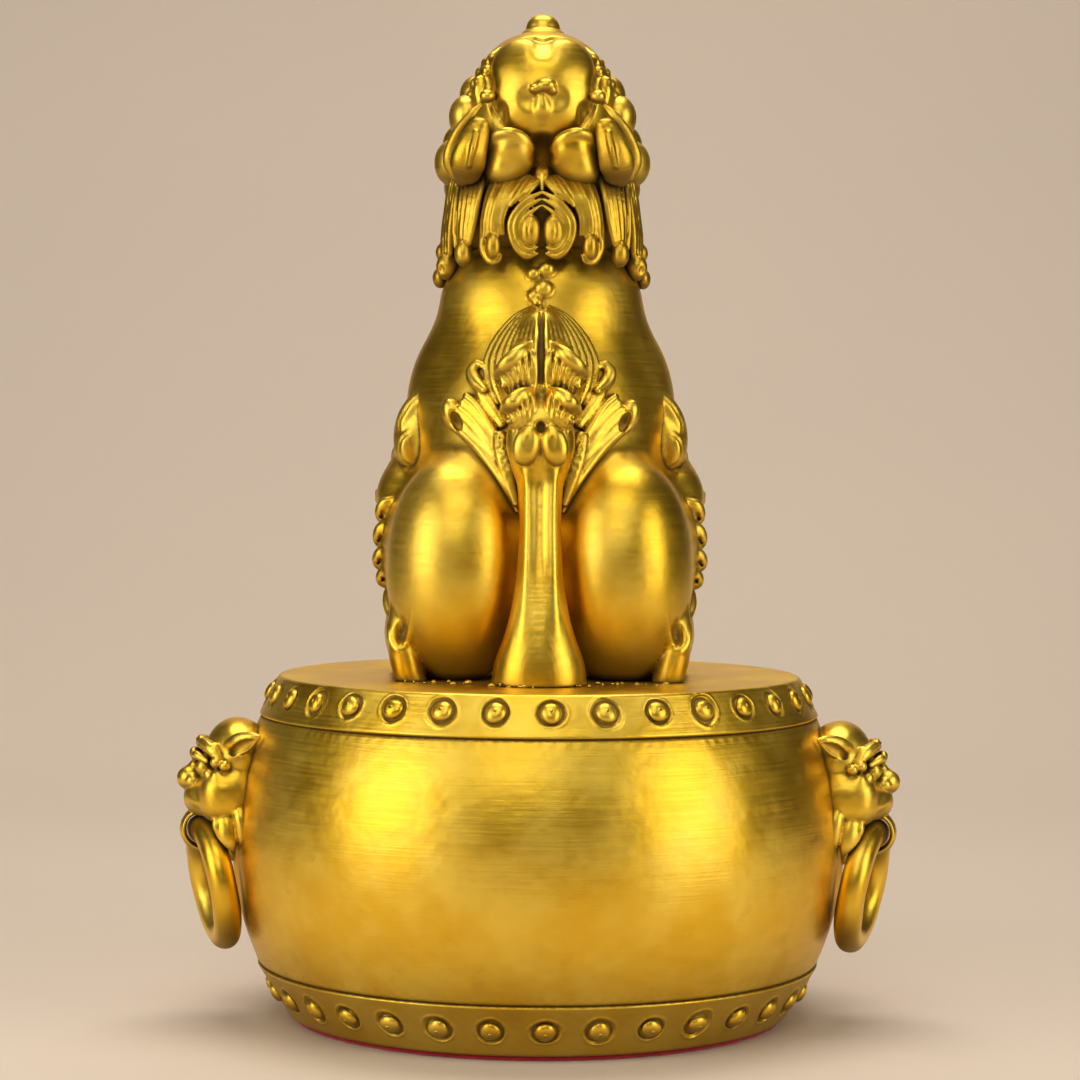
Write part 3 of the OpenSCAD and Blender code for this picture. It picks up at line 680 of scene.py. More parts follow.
def drum_bottom_ring():
    """The lower nailed slope, the foot and the spigot into the barrel."""
    seam_r = barrel_at(LOWER_SEAM)
    high = LOWER_SEAM - 0.6
    lean = (seam_r + 0.2 - FOOT_R) / (high - FELT_T)
    slope_r = FOOT_R + (LOWER_NAILS["z"] - FELT_T) * lean
    spigot = barrel_at(LOWER_SEAM, WALL) - 0.05
    slope = dense([(seam_r + 0.2, high), (FOOT_R + 0.25, FELT_T + 0.4)], 0.28)
    profile = [(seam_r - 0.5, LOWER_SEAM), (seam_r + 0.1, LOWER_SEAM - 0.15), (seam_r + 0.3, high + 0.2),
               *slope,
               (FOOT_R, FELT_T + 0.1), (FOOT_R - 0.3, FELT_T), (FOOT_R - WALL - 1, FELT_T),
               (FOOT_R - WALL - 1, 3), (39, 3), (39, 7), (spigot - WALL, LOWER_SEAM + 3),
               (spigot, LOWER_SEAM + 3), (spigot, LOWER_SEAM)]
    points, faces, hollow = band_faces(profile, 1200, LOWER_NAILS["z"], LOWER_NAILS["phase"], -lean,
                                       slope_r)
    make_piece("drum_bottom_ring_skin", points, faces, "statue", ["drum_bottom_ring"],
               DRUM, hollow)
    nails("lower_nails", "lower_drum_nails", LOWER_NAILS, slope_r, -math.atan(lean))


def nails(name, node, band, slope_r, slope):
    """Domed nails, each a little lopsided, with a closed underside."""
    points, faces, rings, around = [], [], 9, 28
    for i in range(NAIL_COUNT):
        rows = []
        for k in range(rings + 1):
            a = math.pi / 2 * (1 - k / rings)
            rows.append((NAIL_R * 1.04 * math.cos(a) ** 0.8, 1.05 * math.sin(a) ** 1.15 + 0.02))
        rows += [(NAIL_R, -0.9), (0.02, -0.9)]
        turn = (i + band["phase"]) * 2 * math.pi / NAIL_COUNT
        place = (Matrix.Rotation(turn, 4, "Z") @ Matrix.Translation((slope_r, 0, band["z"]))
                 @ Matrix.Rotation(-slope, 4, "Y"))
        base = len(points)
        for r, h in [(0.02, 1.07), *rows]:
            for j in range(around):
                b = 2 * math.pi * j / around
                k = 1 + 0.04 * math.sin(2 * b + i) + 0.03 * math.sin(3 * b + 2.2 * i)
                lump = h + 0.07 * (r / NAIL_R) * math.sin(b + 1.9 * i) * (h > 0.3)
                points.append(place @ Vector((lump, r * k * math.sin(b), r * k * math.cos(b))))
        count = len(rows) + 1
        for k in range(count):
            for j in range(around):
                a, b = k * around + j, k * around + (j + 1) % around
                c, d = ((k + 1) % count) * around + (j + 1) % around, ((k + 1) % count) * around + j
                faces.append((base + a, base + b, base + c, base + d))
    points = np.array([tuple(p) for p in points])
    faces = np.array(faces)
    make_piece(name, points, faces, "statue", [node], RELIEF)


def felt_pad():
    """A disc of felt whose cut edge is a little wavy."""
    r = FOOT_R - 0.9
    z = FELT_T
    profile = [(0.02, 0), *dense([(4, 0), (r - 0.3, 0)], 6), (r, 0.25), (r + 0.12, 0.55), (r, z - 0.1),
               (r - 0.3, z),
               (0.02, z)]

    def fuzz(radius, height, turn):
        wobble = 0.12 * np.sin(turn * 57) * np.sin(turn * 23 + 1)
        return radius + (radius > r - 1) * wobble, height

    points, faces = lathe(profile, 480, fuzz)
    make_piece("felt_pad_skin", points, faces, "statue", ["felt_pad"], FELT)


# ---- Lion: body, legs and tail, in the seat frame ----

LION_LOW = (-37, -46, -1.5)
LION_HIGH = (37, 39, 86)
LION_CELL = 0.4
BLEND_REACH = 9
LEG_BLENDS = (4.2, 4.2, 8.0, 8.0)


def torso_clay():
    """The barrel-chested body, seated and leaning a little forward."""
    clay = Clay(LION_LOW, LION_HIGH, LION_CELL)
    clay.egg((0, 1, 11), (13, 14, 15), 0, margin=BLEND_REACH)
    clay.egg((0, 0.5, 34), (23.5, 20.5, 25), 12, margin=BLEND_REACH)
    clay.egg((0, -3, 53), (22.8, 20.5, 22), 11, margin=BLEND_REACH)
    clay.egg((0, -6, 74), (20.3, 17.0, 15), 9, margin=BLEND_REACH)
    clay.egg((0, -20, 48), (13, 9, 19), 6)
    clay.roughen(0.10, 22)
    return clay


def hind_leg_clay():
    """The left haunch, the knee before it, the hock behind it and the long foot."""
    clay = Clay(LION_LOW, LION_HIGH, LION_CELL)
    clay.egg((15.9, 13.4, 21.5), (14.1, 17.3, 22.4), 0, power=2.15, margin=BLEND_REACH)
    clay.egg((21.0, -2, 25), (11.2, 15, 15.5), 6, margin=BLEND_REACH)
    clay.egg((26.9, -3.5, 35.4), (6.0, 8.0, 6.4), 2.5, margin=6)
    clay.strand([(21, -8, 14), (24.5, 4, 9), (25.0, 14, 6)], (7.5, 6.2, 4.5), 4)
    clay.strand([(27.2, 18.5, 13.5), (26.9, 20.6, 9.5), (26.1, 21.2, 5), (24.9, 20.2, 0)],
                (1.9, 2.5, 2.8, 3.1), 1.0)
    clay.strand([(25.5, 16, 3), (25.8, 0, 3.2), (25, -16, 3.4), (24.5, -24, 3.4)], (3.4, 4.2, 5.0, 5.6),
                2, flat=0.9)
    toes(clay, (24.5, -24, 3.2), 5.6, 4)
    return clay


def toes(clay, at, width, count):
    """Round toes with a claw each, in front of a paw."""
    for i in range(count):
        a = (i - (count - 1) / 2) / count
        x = at[0] + a * 2 * width * 0.86
        y = at[1] - 4.6 + 5.0 * a * a * 2
        clay.strand([(x - a, y + 6, at[2] + 1.6), (x, y + 1.5, at[2] + 1.3), (x + a, y, at[2] - 0.6)],
                    (1.5, 1.75, 1.55), 0.5)
        clay.strand([(x + a, y - 0.8, at[2] + 0.4), (x + 1.1 * a, y - 2.6, at[2] - 0.5),
                     (x + 1.2 * a, y - 3.1, at[2] - 1.9)], (0.9, 0.6, 0.25), 0.25)


def haunch_curls(clay):
    """The hair on the thigh: a column of curls, leaves before it, and the forked tuft over the hock."""
    for y, z, r in ((2.5, 32.6, 2.5), (3.0, 27.8, 2.6), (4.5, 23.2, 2.1), (6.0, 19.6, 1.6)):
        x = clay.side(y, z, 1.0)
        clay.strand([(x - 0.6, y + 2.4, z + r * 0.9), (x + 0.9, y + 1.4, z + r * 0.5),
                     (x + 1.3, y + 0.3, z - r * 0.3),
                     (x + 0.4, y - 0.8, z - r)], (0.6, 1.4, 1.6, 0.8), 0.7, out=(1, 0.6, 0))
        clay.egg((x + 0.2, y - 1.6, z), (1.5, r * 1.1, r * 0.9), 0.3)
        clay.strand([(x + 1.2, y + 2.2, z - r * 0.1), (x + 1.7, y + 0.9, z - r * 0.7)], (0.35, 0.35),
                    0.15, cut=True)
    for y, z in ((-8, 33), (-10, 28), (-10, 22.5), (-7, 17.5)):
        x = clay.side(y, z, 0.2)
        clay.strand([(x, y + 6, z + 3.5), (x + 0.9, y + 2.5, z + 2), (x + 1.0, y - 2, z + 2.4),
                     (x, y - 4.5, z - 1), (x + 0.3, y - 2, z - 2.6)], (0.7, 1.5, 1.8, 1.5, 0.9), 0.3,
                    flat=0.75,
                    out=(1, 0, 0), ridges=2)
    clay.strand([(30.0, 10.5, 18.5), (29.5, 13.5, 15), (29.0, 17.0, 11.5)], (0.3, 1.3, 0.5), 0.35,
                out=(1, 1, 0))
    clay.egg((26.8, 24.0, 9.8), (1.3, 2.0, 2.8), 0.4, cut=True)
    cuff = [(24.3, 13.4), (24.8, 9.6), (25.4, 7.2), (26.8, 6.2), (28.2, 7.2), (28.9, 9.6), (29.4, 13.0)]
    clay.strand([(x, clay.back(x, z, 0.2), z) for x, z in cuff], (0.3, 0.7, 0.75, 0.75, 0.75, 0.7, 0.3),
                0.4)


def shoulder_locks(clay):
    """The swelling of the upper foreleg, with broad ribbed locks down it."""
    clay.egg((23.3, -3.5, 47.0), (6.3, 6.5, 9.5), 0.8)
    for y, z, long, r in ((-0.5, 51.8, 4.6, 2.2), (0.5, 44.6, 4.2, 2.3), (5.0, 48.5, 4.4, 1.7)):
        places = [(y + 1.5, z + long), (y + 0.4, z + long * 0.4), (y, z - long * 0.4),
                  (y + 0.8, z - long)]
        path = [(clay.side(a, b, 0.9), a, b) for a, b in places]
        clay.strand(path, (0.5, r, r * 0.95, 0.6), 0.5, flat=0.75, out=(1, 0.5, 0), ridges=3)


def foreleg_clay(right=False):
    """A foreleg on the lion's left: planted on the seat, or bent with its paw on the ball."""
    clay = Clay(LION_LOW, LION_HIGH, LION_CELL)
    clay.egg((17.4, -8.5, 54.5), (8.8, 10, 13.5), 0, margin=BLEND_REACH)
    if right:
        path = [(21.5, -10, 42), (20, -21, 34.5), (17.2, -29, 26.5), (15.5, -33, 21)]
        clay.strand(path, (7.4, 6.2, 5.2, 5.0), 3)
        paw = (15.5, -33.2, 19.2)
    else:
        path = [(21.5, -10, 43), (19.6, -20, 31), (17, -28, 17), (16, -31, 7)]
        clay.strand(path, (7.6, 6.1, 5.3, 5.2), 3)
        paw = (16, -33.5, 3.6)
    clay.egg(paw, (6.6, 7.4, 4.3), 1.5)
    toes(clay, (paw[0], paw[1] - 1.5, paw[2]), 6.0, 4)
    for y, z in ((-11, 50), (-12, 42.5), (-14, 35), (-18, 27.5)):
        x = clay.side(y, z, 0.3)
        if x <= 0:
            continue
        clay.strand([(x - 0.6, y + 3.5, z + 4), (x + 0.4, y + 1, z + 1.5), (x + 0.3, y - 3.5, z + 2.0),
                     (x - 0.5, y - 5.2, z - 1)], (0.5, 1.6, 1.5, 0.8), 0.35, flat=0.7, out=(1, 0, 0),
                    ridges=3)
    return clay


def mirror_of(clay):
    """The same block seen in a mirror at X = 0. Its box is symmetrical."""
    other = Clay(LION_LOW, LION_HIGH, LION_CELL)
    other.field = np.ascontiguousarray(clay.field[::-1])
    return other


def shared(parts, blends):
    """Pieces that meet in one smooth skin: each keeps its own share, and dips just under its neighbours'."""
    whole = parts[0].field
    for part, k in zip(parts[1:], blends):
        whole = smooth_min(whole, part.field, k)
    overlap, dip = 2.4, 0.07
    shares = []
    for i, part in enumerate(parts):
        others = np.min([p.field for j, p in enumerate(parts) if j != i], axis=0)
        beyond = part.field - others
        slope = np.clip((beyond + overlap) / (2 * overlap), 0, 1)
        clay = Clay(part.low, part.low + (part.size - 1) * part.cell, part.cell)
        clay.field = np.maximum(whole, beyond - overlap) + dip * slope
        shares.append(clay)
    return shares


def body():
    """The torso and the legs, blended into one skin and shared out again, with their own details on them."""
    torso = torso_clay()
    left = hind_leg_clay()
    planted = foreleg_clay()
    bent = foreleg_clay(right=True)
    parts = shared([torso, left, mirror_of(left), planted, mirror_of(bent)], LEG_BLENDS)
    names = ["lion_torso", "left_hind_leg", "right_hind_leg", "left_foreleg", "right_foreleg"]
    whole = Clay(LION_LOW, LION_HIGH, LION_CELL)
    for i, name in enumerate(names):
        right = name.startswith("right")
        part = mirror_of(parts[i]) if right else parts[i]
        if name == "lion_torso":
            spine_beads(part)
        elif name.endswith("hind_leg"):
            haunch_curls(part)
        else:
            shoulder_locks(part)
        parts[i] = mirror_of(part) if right else part
        parts[i].cut_below(0.0)
        whole.join(parts[i])
    for name, part in zip(names, parts):
        if name == "right_foreleg":
            part.egg(BALL_C, BALL_R, 0, cut=True)
        part.piece(name + "_skin", "statue", "cast_brass", [name], CAST, SEAT_Z, within=whole)
    return whole


def spine_beads(clay):
    """A short chain of lumps down the spine, from under the mane to the tail's tuft."""
    for x, z, r in ((1.6, 79.3, 1.35), (-1.0, 80.2, 1.6), (-0.4, 76.3, 1.8), (1.6, 74.9, 1.25),
                    (0.8, 73.6, 1.1),
                    (0.3, 71.4, 1.2)):
        y = clay.back(x, z, -0.1)
        clay.egg((x, y, z), (r, 1.3, r * 1.05), 0.25)
    y = clay.back(-1.6, 74.6)
    clay.egg((-1.9, y + 1.0, 74.8), (0.8, 0.8, 0.8), 0.2, cut=True)


BALL_C = (-15.5, -33.5, 8.5)
BALL_R = 8.5


def sheet(clay, first, last, count, widths, k, both, bulge):
    """Strands side by side, from one edge's curve to the other's, bulging back between them."""
    a, b = np.array(first, float), np.array(last, float)
    for i in range(count):
        t = i / (count - 1)
        rows = a + (b - a) * t + np.array((0, bulge * 4 * t * (1 - t), 0))
        clay.strand(rows.tolist(), widths, k, both=both)


def tail(base):
    """The shaft up the back, the leafy tuft on it and the two side flames."""
    clay = Clay((-22, 4, -1), (22, 40, 78), 0.3)

    def lying(points, lift=0.0, side=1):
        """Points at x and z laid on what is there already."""
        return [(side * x, max(base.back(side * x, z), clay.back(side * x,
                                                                 z)) + lift + (more[0] if more else 0),
                 z)
                for x, z, *more in points]

    shaft = [(0, 28.8, -1), (0, 29.4, 3), (0, 30.2, 8), (0, 30.3, 13), (0, 29.6, 20), (0, 27.8, 29),
             (0, 25.6, 37),
             (0, 23.5, 46)]
    clay.strand(shaft, (9.3, 8.7, 7.0, 5.7, 4.6, 4.0, 4.3, 4.8), 0, flat=0.8, steps=8)
    clay.strand([(0, 36.6, 9), (0, 35.2, 16), (0, 33.5, 24), (0, 31.5, 32), (0, 29.6, 40)],
                (0.2, 0.6, 0.9, 1.0, 1.0), 1.2,
                cut=True, flat=0.7)
    for side, w in ((-1, 1.0), (1, 0.6)):
        clay.strand([(side * 3.2, 33.8, 8), (side * 2.6, 33.1, 15), (side * 2.3, 31.7, 24),
                     (side * 2.2, 29.8, 32),
                     (side * 2.3, 28.0, 40)], (0.2, w * 0.8, w, w, w), 1.6)
    clay.egg((0, 25, 46.5), (6.6, 5.0, 8.5), 2.5)
    clay.egg((0, 21.4, 58), (8.2, 4.8, 9), 3)
    clay.egg((0, 17.2, 66), (4.8, 3.6, 6), 3)
    for side in (-1, 1):
        flame(clay, lying, side)
    outer = lying(((1.5, 73.0), (5.0, 70.9), (8.2, 67.2), (10.2, 63.2), (10.5, 60), (9.9, 57.2),
                   (8.3, 53.9)), 0.3)
    inner = lying(((0.7, 72.0, -0.4), (0.8, 69.4), (0.9, 66.2), (1.0, 63.2), (1.2, 60), (1.4, 57),
                   (1.6, 54)), 0.2)
    sheet(clay, outer, inner, 9, (0.35, 0.6, 0.8, 0.85, 0.85, 0.8, 0.5), k=0.12, both=True, bulge=0.7)
    clay.strand(lying(((0, 72.0), (0, 68), (0, 63), (0, 58)), 0.2), (0.3, 0.75, 0.8, 0.5), 0.4, cut=True)
    folded_leaf(clay, lying, ((1.9, 65.4), (4.4, 63.4), (7.1, 60.6), (7.9, 58.8), (7.2, 57.0)), 1.3,
                55.5, (4.3, 59.9),
                (3.5, 2.3, 5.0))
    folded_leaf(clay, lying, ((1.7, 56.4), (3.9, 55.4), (6.0, 53.3), (6.7, 51.8), (6.1, 50.3)), 1.1,
                48.6, (3.6, 52.3),
                (2.9, 2.2, 4.1))
    leaf = lying([(2.7, 45.6)], 0.2)[0]
    clay.egg(leaf, (2.6, 1.6, 3.9), 0.4, both=True, turn=(0, -14, 0))
    clay.egg((leaf[0] - 0.4, leaf[1] + 1.9, 46.6), (0.35, 0.5, 2.0), 0.6, cut=True, both=True)
    clay.egg((0, leaf[1] + 1.4, 49.3), (1.2, 3.0, 1.4), 0.5, cut=True)
    clay.cut_below(0.0)
    clay.piece("tail_skin", "statue", "relief_brass", ["tail"], RELIEF, SEAT_Z)


def folded_leaf(clay, lying, lip, inner_x, bottom_z, middle, size):
    """A leaf of the tuft and its mirror image: a bright rolled lip on top, and ribs that hang from it."""
    clay.egg(lying([middle], 0.15)[0], size, 0.5, both=True, turn=(0, -16, 0))
    raised_lip = lying(lip, 0.15)
    count = 6
    for i in range(count):
        t = (i + 0.5) / count
        n = 3 * (1 - t)
        a = np.array(lip[int(n)]) + (np.array(lip[int(n) + 1]) - np.array(lip[int(n)])) * (n - int(n))
        low_x = inner_x + (lip[4][0] - 0.7 - inner_x) * (1 - t)
        path = [(a[0], a[1] - 0.4), ((a[0] + low_x) / 2, (a[1] + bottom_z) / 2), (low_x, bottom_z)]
        clay.strand(lying(path, 0.1), (0.28, 0.36, 0.28), 0.2, cut=True, both=True)
    clay.strand(raised_lip, (0.6, 1.3, 1.5, 1.2, 0.5), 0.4, both=True, flat=0.75)


def flame(clay, lying, side):
    """A sheet of strands that leaves the shaft and curls outward, with a hammered strip inside it."""
    low_edge = lying(((4.4, 33.0), (7.2, 38.7), (11.0, 43.9), (14.6, 47.6), (17.0, 49.4, 0.5)), 0.5,
                     side)
    top_edge = lying(((4.6, 37.5), (7.2, 44.5), (9.6, 49.2), (12.2, 53.2), (14.4, 55.2, 0.5)), 0.5, side)
    sheet(clay, low_edge, top_edge, 6, (0.6, 0.95, 1.05, 1.05, 0.9), k=0.2, both=False, bulge=0.5)
    for edge, width in ((low_edge, 0.85), (top_edge, 0.75)):
        raised = [(x, y + 0.75, z) for x, y, z in edge]
        clay.strand(raised, (0.4, width, width, width, 0.6), 0.25)
    strip = lying(((4.6, 34.5), (6.0, 39.5), (7.2, 43.8), (7.8, 47.6)), 0.7, side)
    clay.strand(strip, (0.8, 1.35, 1.55, 1.5), 0.3, flat=0.6)
    hammered = np.random.default_rng(5)
    dents = 34
    for i in range(dents):
        t = (i + 0.5) / dents * 3
        n = min(int(t), 2)
        a = np.array(strip[n]) + (np.array(strip[n + 1]) - strip[n]) * (t - n)
        shift = hammered.uniform(-1.0, 1.0)
        clay.egg((a[0] + shift, a[1] + 1.05, a[2]), 0.33, 0.2, cut=True)
    band = lying(((7.4, 49.8), (9.6, 53.0), (11.2, 55.4), (12.3, 57.2)), 0.6, side)
    clay.strand(band, (1.1, 1.35, 1.3, 1.0), 0.25, flat=0.7, ridges=3, depth=0.3)
    curled = lying(((11.0, 56.4), (12.7, 58.0), (13.4, 60.0), (12.4, 61.6), (11.2, 61.0)), 0.7, side)
    clay.strand(curled, (0.8, 1.4, 1.35, 0.9, 0.5), 0.3, flat=0.85)
    x, y, z = lying([(16.9, 51.4)], 0.9, side)[0]
    clay.egg((x, y, z), (2.2, 1.9, 3.6), 0.4, turn=(0, side * 22, 0))
    clay.egg((x - side * 0.5, y + 1.9, z - 1.1), (1.0, 1.2, 2.2), 0.3, cut=True, turn=(0, side * 25, 0))


# ---- Lion: head, ears, mane ----

def head():
    """The skull, the neck inside the mane and the knob on the crown, with the face and the back's details."""
    clay = Clay((-24, -44, 77), (24, 16, 136), 0.32)
    clay.egg((0, -9.5, 109.5), (15.6, 16.0, 19.8), 0, power=2.25)
    clay.egg((0, -9, 90), (13.2, 12.5, 13), 3)
    clay.egg((0, -12, 129.2), (4.4, 4.6, 1.3), 0.8)
    clay.egg((0, -12, 130.2), (3.5, 3.5, 3.1), 0.6)
    face(clay)
    heart_plate(clay)
    back_curls(clay)
    clay.roughen(0.06, 12)
    clay.cut_below(80.0)
    clay.piece("lion_head_skin", "statue", "cast_brass", ["lion_head"], RELIEF, SEAT_Z)


def heart_plate(clay):
    """The smooth raised plate over the back of the skull, heart-shaped and swollen, with a curl on it."""
    slices, (x, y, z) = clay.window((-13, -8, 104), (13, 16, 131))
    lobes = np.hypot(np.abs(x) - 4.6, z - 120.9) - 5.8
    belly = np.hypot(x * 0.96, z - 116.0) - 9.4
    chin = np.hypot(x, z - 113.6) - 6.3
    outline = smooth_min(smooth_min(lobes, belly, 0.8), chin, 4.0)
    skin = clay.field[slices]
    rx, ry, rz = 13.2, 11.9, 15.2
    u, v, w = x / rx, (y + 3) / ry, (z - 114.8) / rz
    k0 = np.sqrt(u * u + v * v + w * w)
    k1 = np.sqrt((u / rx) ** 2 + (v / ry) ** 2 + (w / rz) ** 2)
    plate = smooth_max(k0 * (k0 - 1) / np.maximum(k1, 1e-4), outline + 0 * skin, 1.6)
    groove = np.hypot(skin, outline - 0.5) - 0.55
    found = smooth_min(smooth_max(skin, -groove, 0.4), plate, 0.15)
    clay.field[slices] = np.where(y > -2, found, skin)
    clay.egg((0, clay.back(0, 124.6, -1.7), 126.6), (1.5, 2.4, 3.2), 3.0, cut=True)
    y = clay.back(0, 114.8)
    clay.egg((3.0, y + 0.8, 113.8), (2.0, 1.5, 2.2), 1.2, cut=True)
    clay.egg((-3.2, y + 0.8, 113.8), (2.2, 1.5, 2.2), 1.2, cut=True)
    clay.egg((-0.6, y + 0.4, 116.4), (1.9, 1.3, 1.3), 0.5)
    clay.egg((1.4, y + 0.3, 115.7), (1.3, 1.1, 0.9), 0.5)
    clay.egg((-2.0, y + 0.1, 115.4), (0.9, 0.9, 0.8), 0.4)
    clay.strand([(0.2, clay.back(0, 114, 0.2), 114.0), (0, clay.back(0, 112, 0.5), 111.8),
                 (0.1, clay.back(0, 109.6, 0.8), 109.6)], (0.9, 1.7, 1.0), 0.6, flat=0.8)


def back_curls(clay):
    """Strips and bead curls beside the plate, ball curls at the sides and lobes under the skull."""
    upper = [(x, clay.back(x, z, sink), z) for x, z, sink in ((8.6, 125.2, 0.1), (10.2, 123.0, 0.1),
                                                              (11.2, 120.6, 0.2))]
    clay.strand(upper, (0.4, 1.0, 0.6), 0.6, both=True, flat=0.6)
    lower = [(11.4, clay.back(11.4, 120, 0.7), 120.2), (12.2, clay.back(12.2, 117, 0.5), 117),
             (12.4, clay.back(12.4, 114, 0.7), 113.8)]
    clay.strand(lower, (0.7, 1.6, 0.9), 0.35, both=True, flat=0.7)
    for z, r in ((122.4, 0.9), (120.4, 1.1), (118.2, 1.2), (115.9, 1.2)):
        for y, size in ((-1.4, 1.1), (-5.0, 1.25)):
            x = clay.side(y, z, 0.5)
            clay.egg((x, y, z), r * size, 0.2, both=True)
    clay.egg((10.9, 5.6, 114.6), (1.6, 1.7, 1.4), 0.25, both=True)
    clay.egg((9.0, 6.6, 111.0), (2.1, 2.6, 2.8), 0.6, cut=True, both=True)
    for at, size in (((15.3, -6, 111.7), (3.6, 4.4, 4.5)), ((17.4, -6, 102.5), (4.4, 5.0, 4.9)),
                     ((13.6, -15, 117), (3.4, 4.2, 4.2)), ((16.6, -15.5, 107), (3.8, 4.6, 4.4)),
                     ((16.2, -15.5, 98.5), (3.9, 4.8, 4.6)), ((14.2, -15.5, 90), (4.2, 5.0, 4.4))):
        clay.egg(at, size, 0.4, both=True)
    for y, z in ((-6, 111.7), (-6, 102.5), (-15.5, 107), (-15.5, 98.5)):
        x = clay.side(y - 0.5, z, -0.2)
        clay.strand([(x, y + 1.2, z - 1.6), (x + 0.2, y + 1.4, z + 1.6), (x + 0.3, y - 0.8, z + 2.4),
                     (x + 0.3, y - 2.2, z + 0.2), (x + 0.3, y - 0.8, z - 1.2), (x, y + 0.3, z)],
                    (0.3, 0.42, 0.42, 0.42, 0.36, 0.3), 0.15, cut=True, both=True)
    clay.egg((0, 6.0, 100.5), (4.0, 5.5, 6.5), 1.2, cut=True)
    clay.egg((6.4, 5.3, 102.0), (4.7, 3.7, 6.7), 0.4, both=True, turn=(-36, -12, 0))
    clay.egg((7.6, 5.2, 99.8), (3.2, 3.4, 2.9), 2.2, both=True)
    clay.strand([(10.6, 6.8, 104.8), (8.9, 8.8, 106.7), (6.3, 9.8, 107.1), (3.6, 8.8, 106.0),
                 (2.0, 7.2, 104.4)],
                (0.6, 0.9, 1.0, 0.9, 0.5), 1.2, both=True)
    clay.strand([(0, 4.4, 101.4), (0, 7.6, 98.8), (0, 9.6, 95.4)], (0.9, 1.35, 0.25), 0.3, flat=0.8)


def face(clay):
    """The front of the head, to a common guardian-lion pattern: brows, round eyes, broad nose, open mouth."""
    clay.egg((0, -27, 99.5), (10, 8.5, 6.8), 3)
    clay.egg((0, -25, 87.6), (8.4, 7.8, 4.6), 2)
    clay.egg((4.4, -31.5, 98.6), (4.8, 4.8, 4.4), 1.0, both=True)
    clay.egg((0, -34.0, 102.6), (3.2, 2.6, 2.6), 0.8)
    clay.egg((2.9, -33.6, 102.2), (1.8, 2.0, 1.7), 0.5, both=True)
    clay.egg((2.1, -35.4, 101.3), (0.75, 1.1, 0.6), 0.3, cut=True, both=True)
    clay.strand([(0, -27.5, 112), (0, -31.2, 107), (0, -33.8, 104)], (1.8, 2.0, 2.2), 0.8)
    clay.egg((6.6, -25.2, 108.6), (4.4, 4.0, 4.2), 0.6, cut=True, both=True)
    clay.egg((6.6, -24.6, 108.6), (3.5, 3.5, 3.5), 0.3, both=True)
    clay.strand([(2.9, -27.6, 108), (6.4, -28.6, 111.4), (10.2, -25.2, 109.4)], (0.5, 0.9, 0.4), 0.3,
                both=True)
    clay.strand([(3.2, -27.4, 107.6), (6.8, -28.2, 105.3), (10.0, -25.0, 107.8)], (0.4, 0.7, 0.4), 0.3,
                both=True)
    clay.egg((6.7, -28.3, 108.8), (0.95, 0.8, 0.95), 0.2, cut=True, both=True)
    clay.strand([(1.9, -28.4, 110.5), (5.6, -29.2, 114.4), (10.2, -25.6, 114.8), (13.4, -20.5, 112.2)],
                (1.3, 2.1, 2.0, 0.8), 0.5, both=True, flat=0.85, out=(0, -1, 0.4), ridges=4, depth=0.3)
    clay.egg((13.2, -20.2, 113.4), (1.9, 1.9, 1.9), 0.3, both=True)
    clay.egg((0, -26.8, 116.8), (2.3, 2.3, 2.6), 0.4)
    for i in range(5):
        x = -8 + 4 * i
        clay.egg((x, -24.2 + 0.05 * x * x, 121.2 - 0.03 * x * x), (1.9, 2.0, 1.9), 0.35)
    for i in range(4):
        x = -5.4 + 3.6 * i
        clay.egg((x, -20.6 + 0.05 * x * x, 125.4 - 0.04 * x * x), (1.7, 1.8, 1.7), 0.35)
    clay.egg((0, -33, 92.9), (7.4, 9.5, 3.0), 0.7, cut=True)
    clay.egg((0, -27.5, 90.8), (4.6, 6.0, 1.3), 0.4)
    clay.strand([(-8.2, -29, 95.6), (-5.0, -35.0, 95.3), (0, -36.4, 96.2), (5.0, -35.0, 95.3),
                 (8.2, -29, 95.6)],
                (0.8, 0.95, 0.95, 0.95, 0.8), 0.4)
    clay.strand([(-7.6, -27, 90.2), (-4.6, -32.2, 89.4), (0, -33.4, 89.2), (4.6, -32.2, 89.4),
                 (7.6, -27, 90.2)],
                (0.8, 0.95, 1.0, 0.95, 0.8), 0.4)
    for x in (-3.2, -1.1, 1.1, 3.2):
        clay.egg((x, -34.0 + 0.09 * x * x, 94.4), (0.85, 0.7, 1.1), 0.1)
        clay.egg((x, -31.4 + 0.09 * x * x, 90.6), (0.8, 0.7, 0.9), 0.1)
    clay.strand([(5.4, -32.6, 95.2), (5.6, -33.0, 93.2), (5.4, -32.6, 91.6)], (1.0, 0.8, 0.2), 0.2,
                both=True)
    for i in range(5):
        a = math.radians(-60 + 30 * i)
        x, y = 8.5 * math.sin(a), -24.5 - 6.5 * math.cos(a)
        clay.strand([(x * 0.9, y + 1.5, 87.5), (x * 1.05, y - 0.6, 84.2), (x * 0.9, y - 0.8, 81.8)],
                    (1.6, 1.8, 1.2), 0.3,
                    out=(math.sin(a), -math.cos(a), 0), ridges=3, depth=0.25)
    clay.strand([(8.8, -27.0, 98.8), (11.8, -23.8, 97.0), (13.0, -20.0, 100.0), (11.8, -19.6, 103.0)],
                (1.3, 1.8, 1.6, 0.8), 0.4, both=True, ridges=3, depth=0.25, out=(0.7, -1, 0))
    clay.strand([(9.2, -25.0, 93.5), (12.8, -21.5, 91.0), (13.8, -17.5, 93.8)], (1.2, 1.9, 1.0), 0.4,
                both=True,
                ridges=3, depth=0.25, out=(0.7, -1, 0))


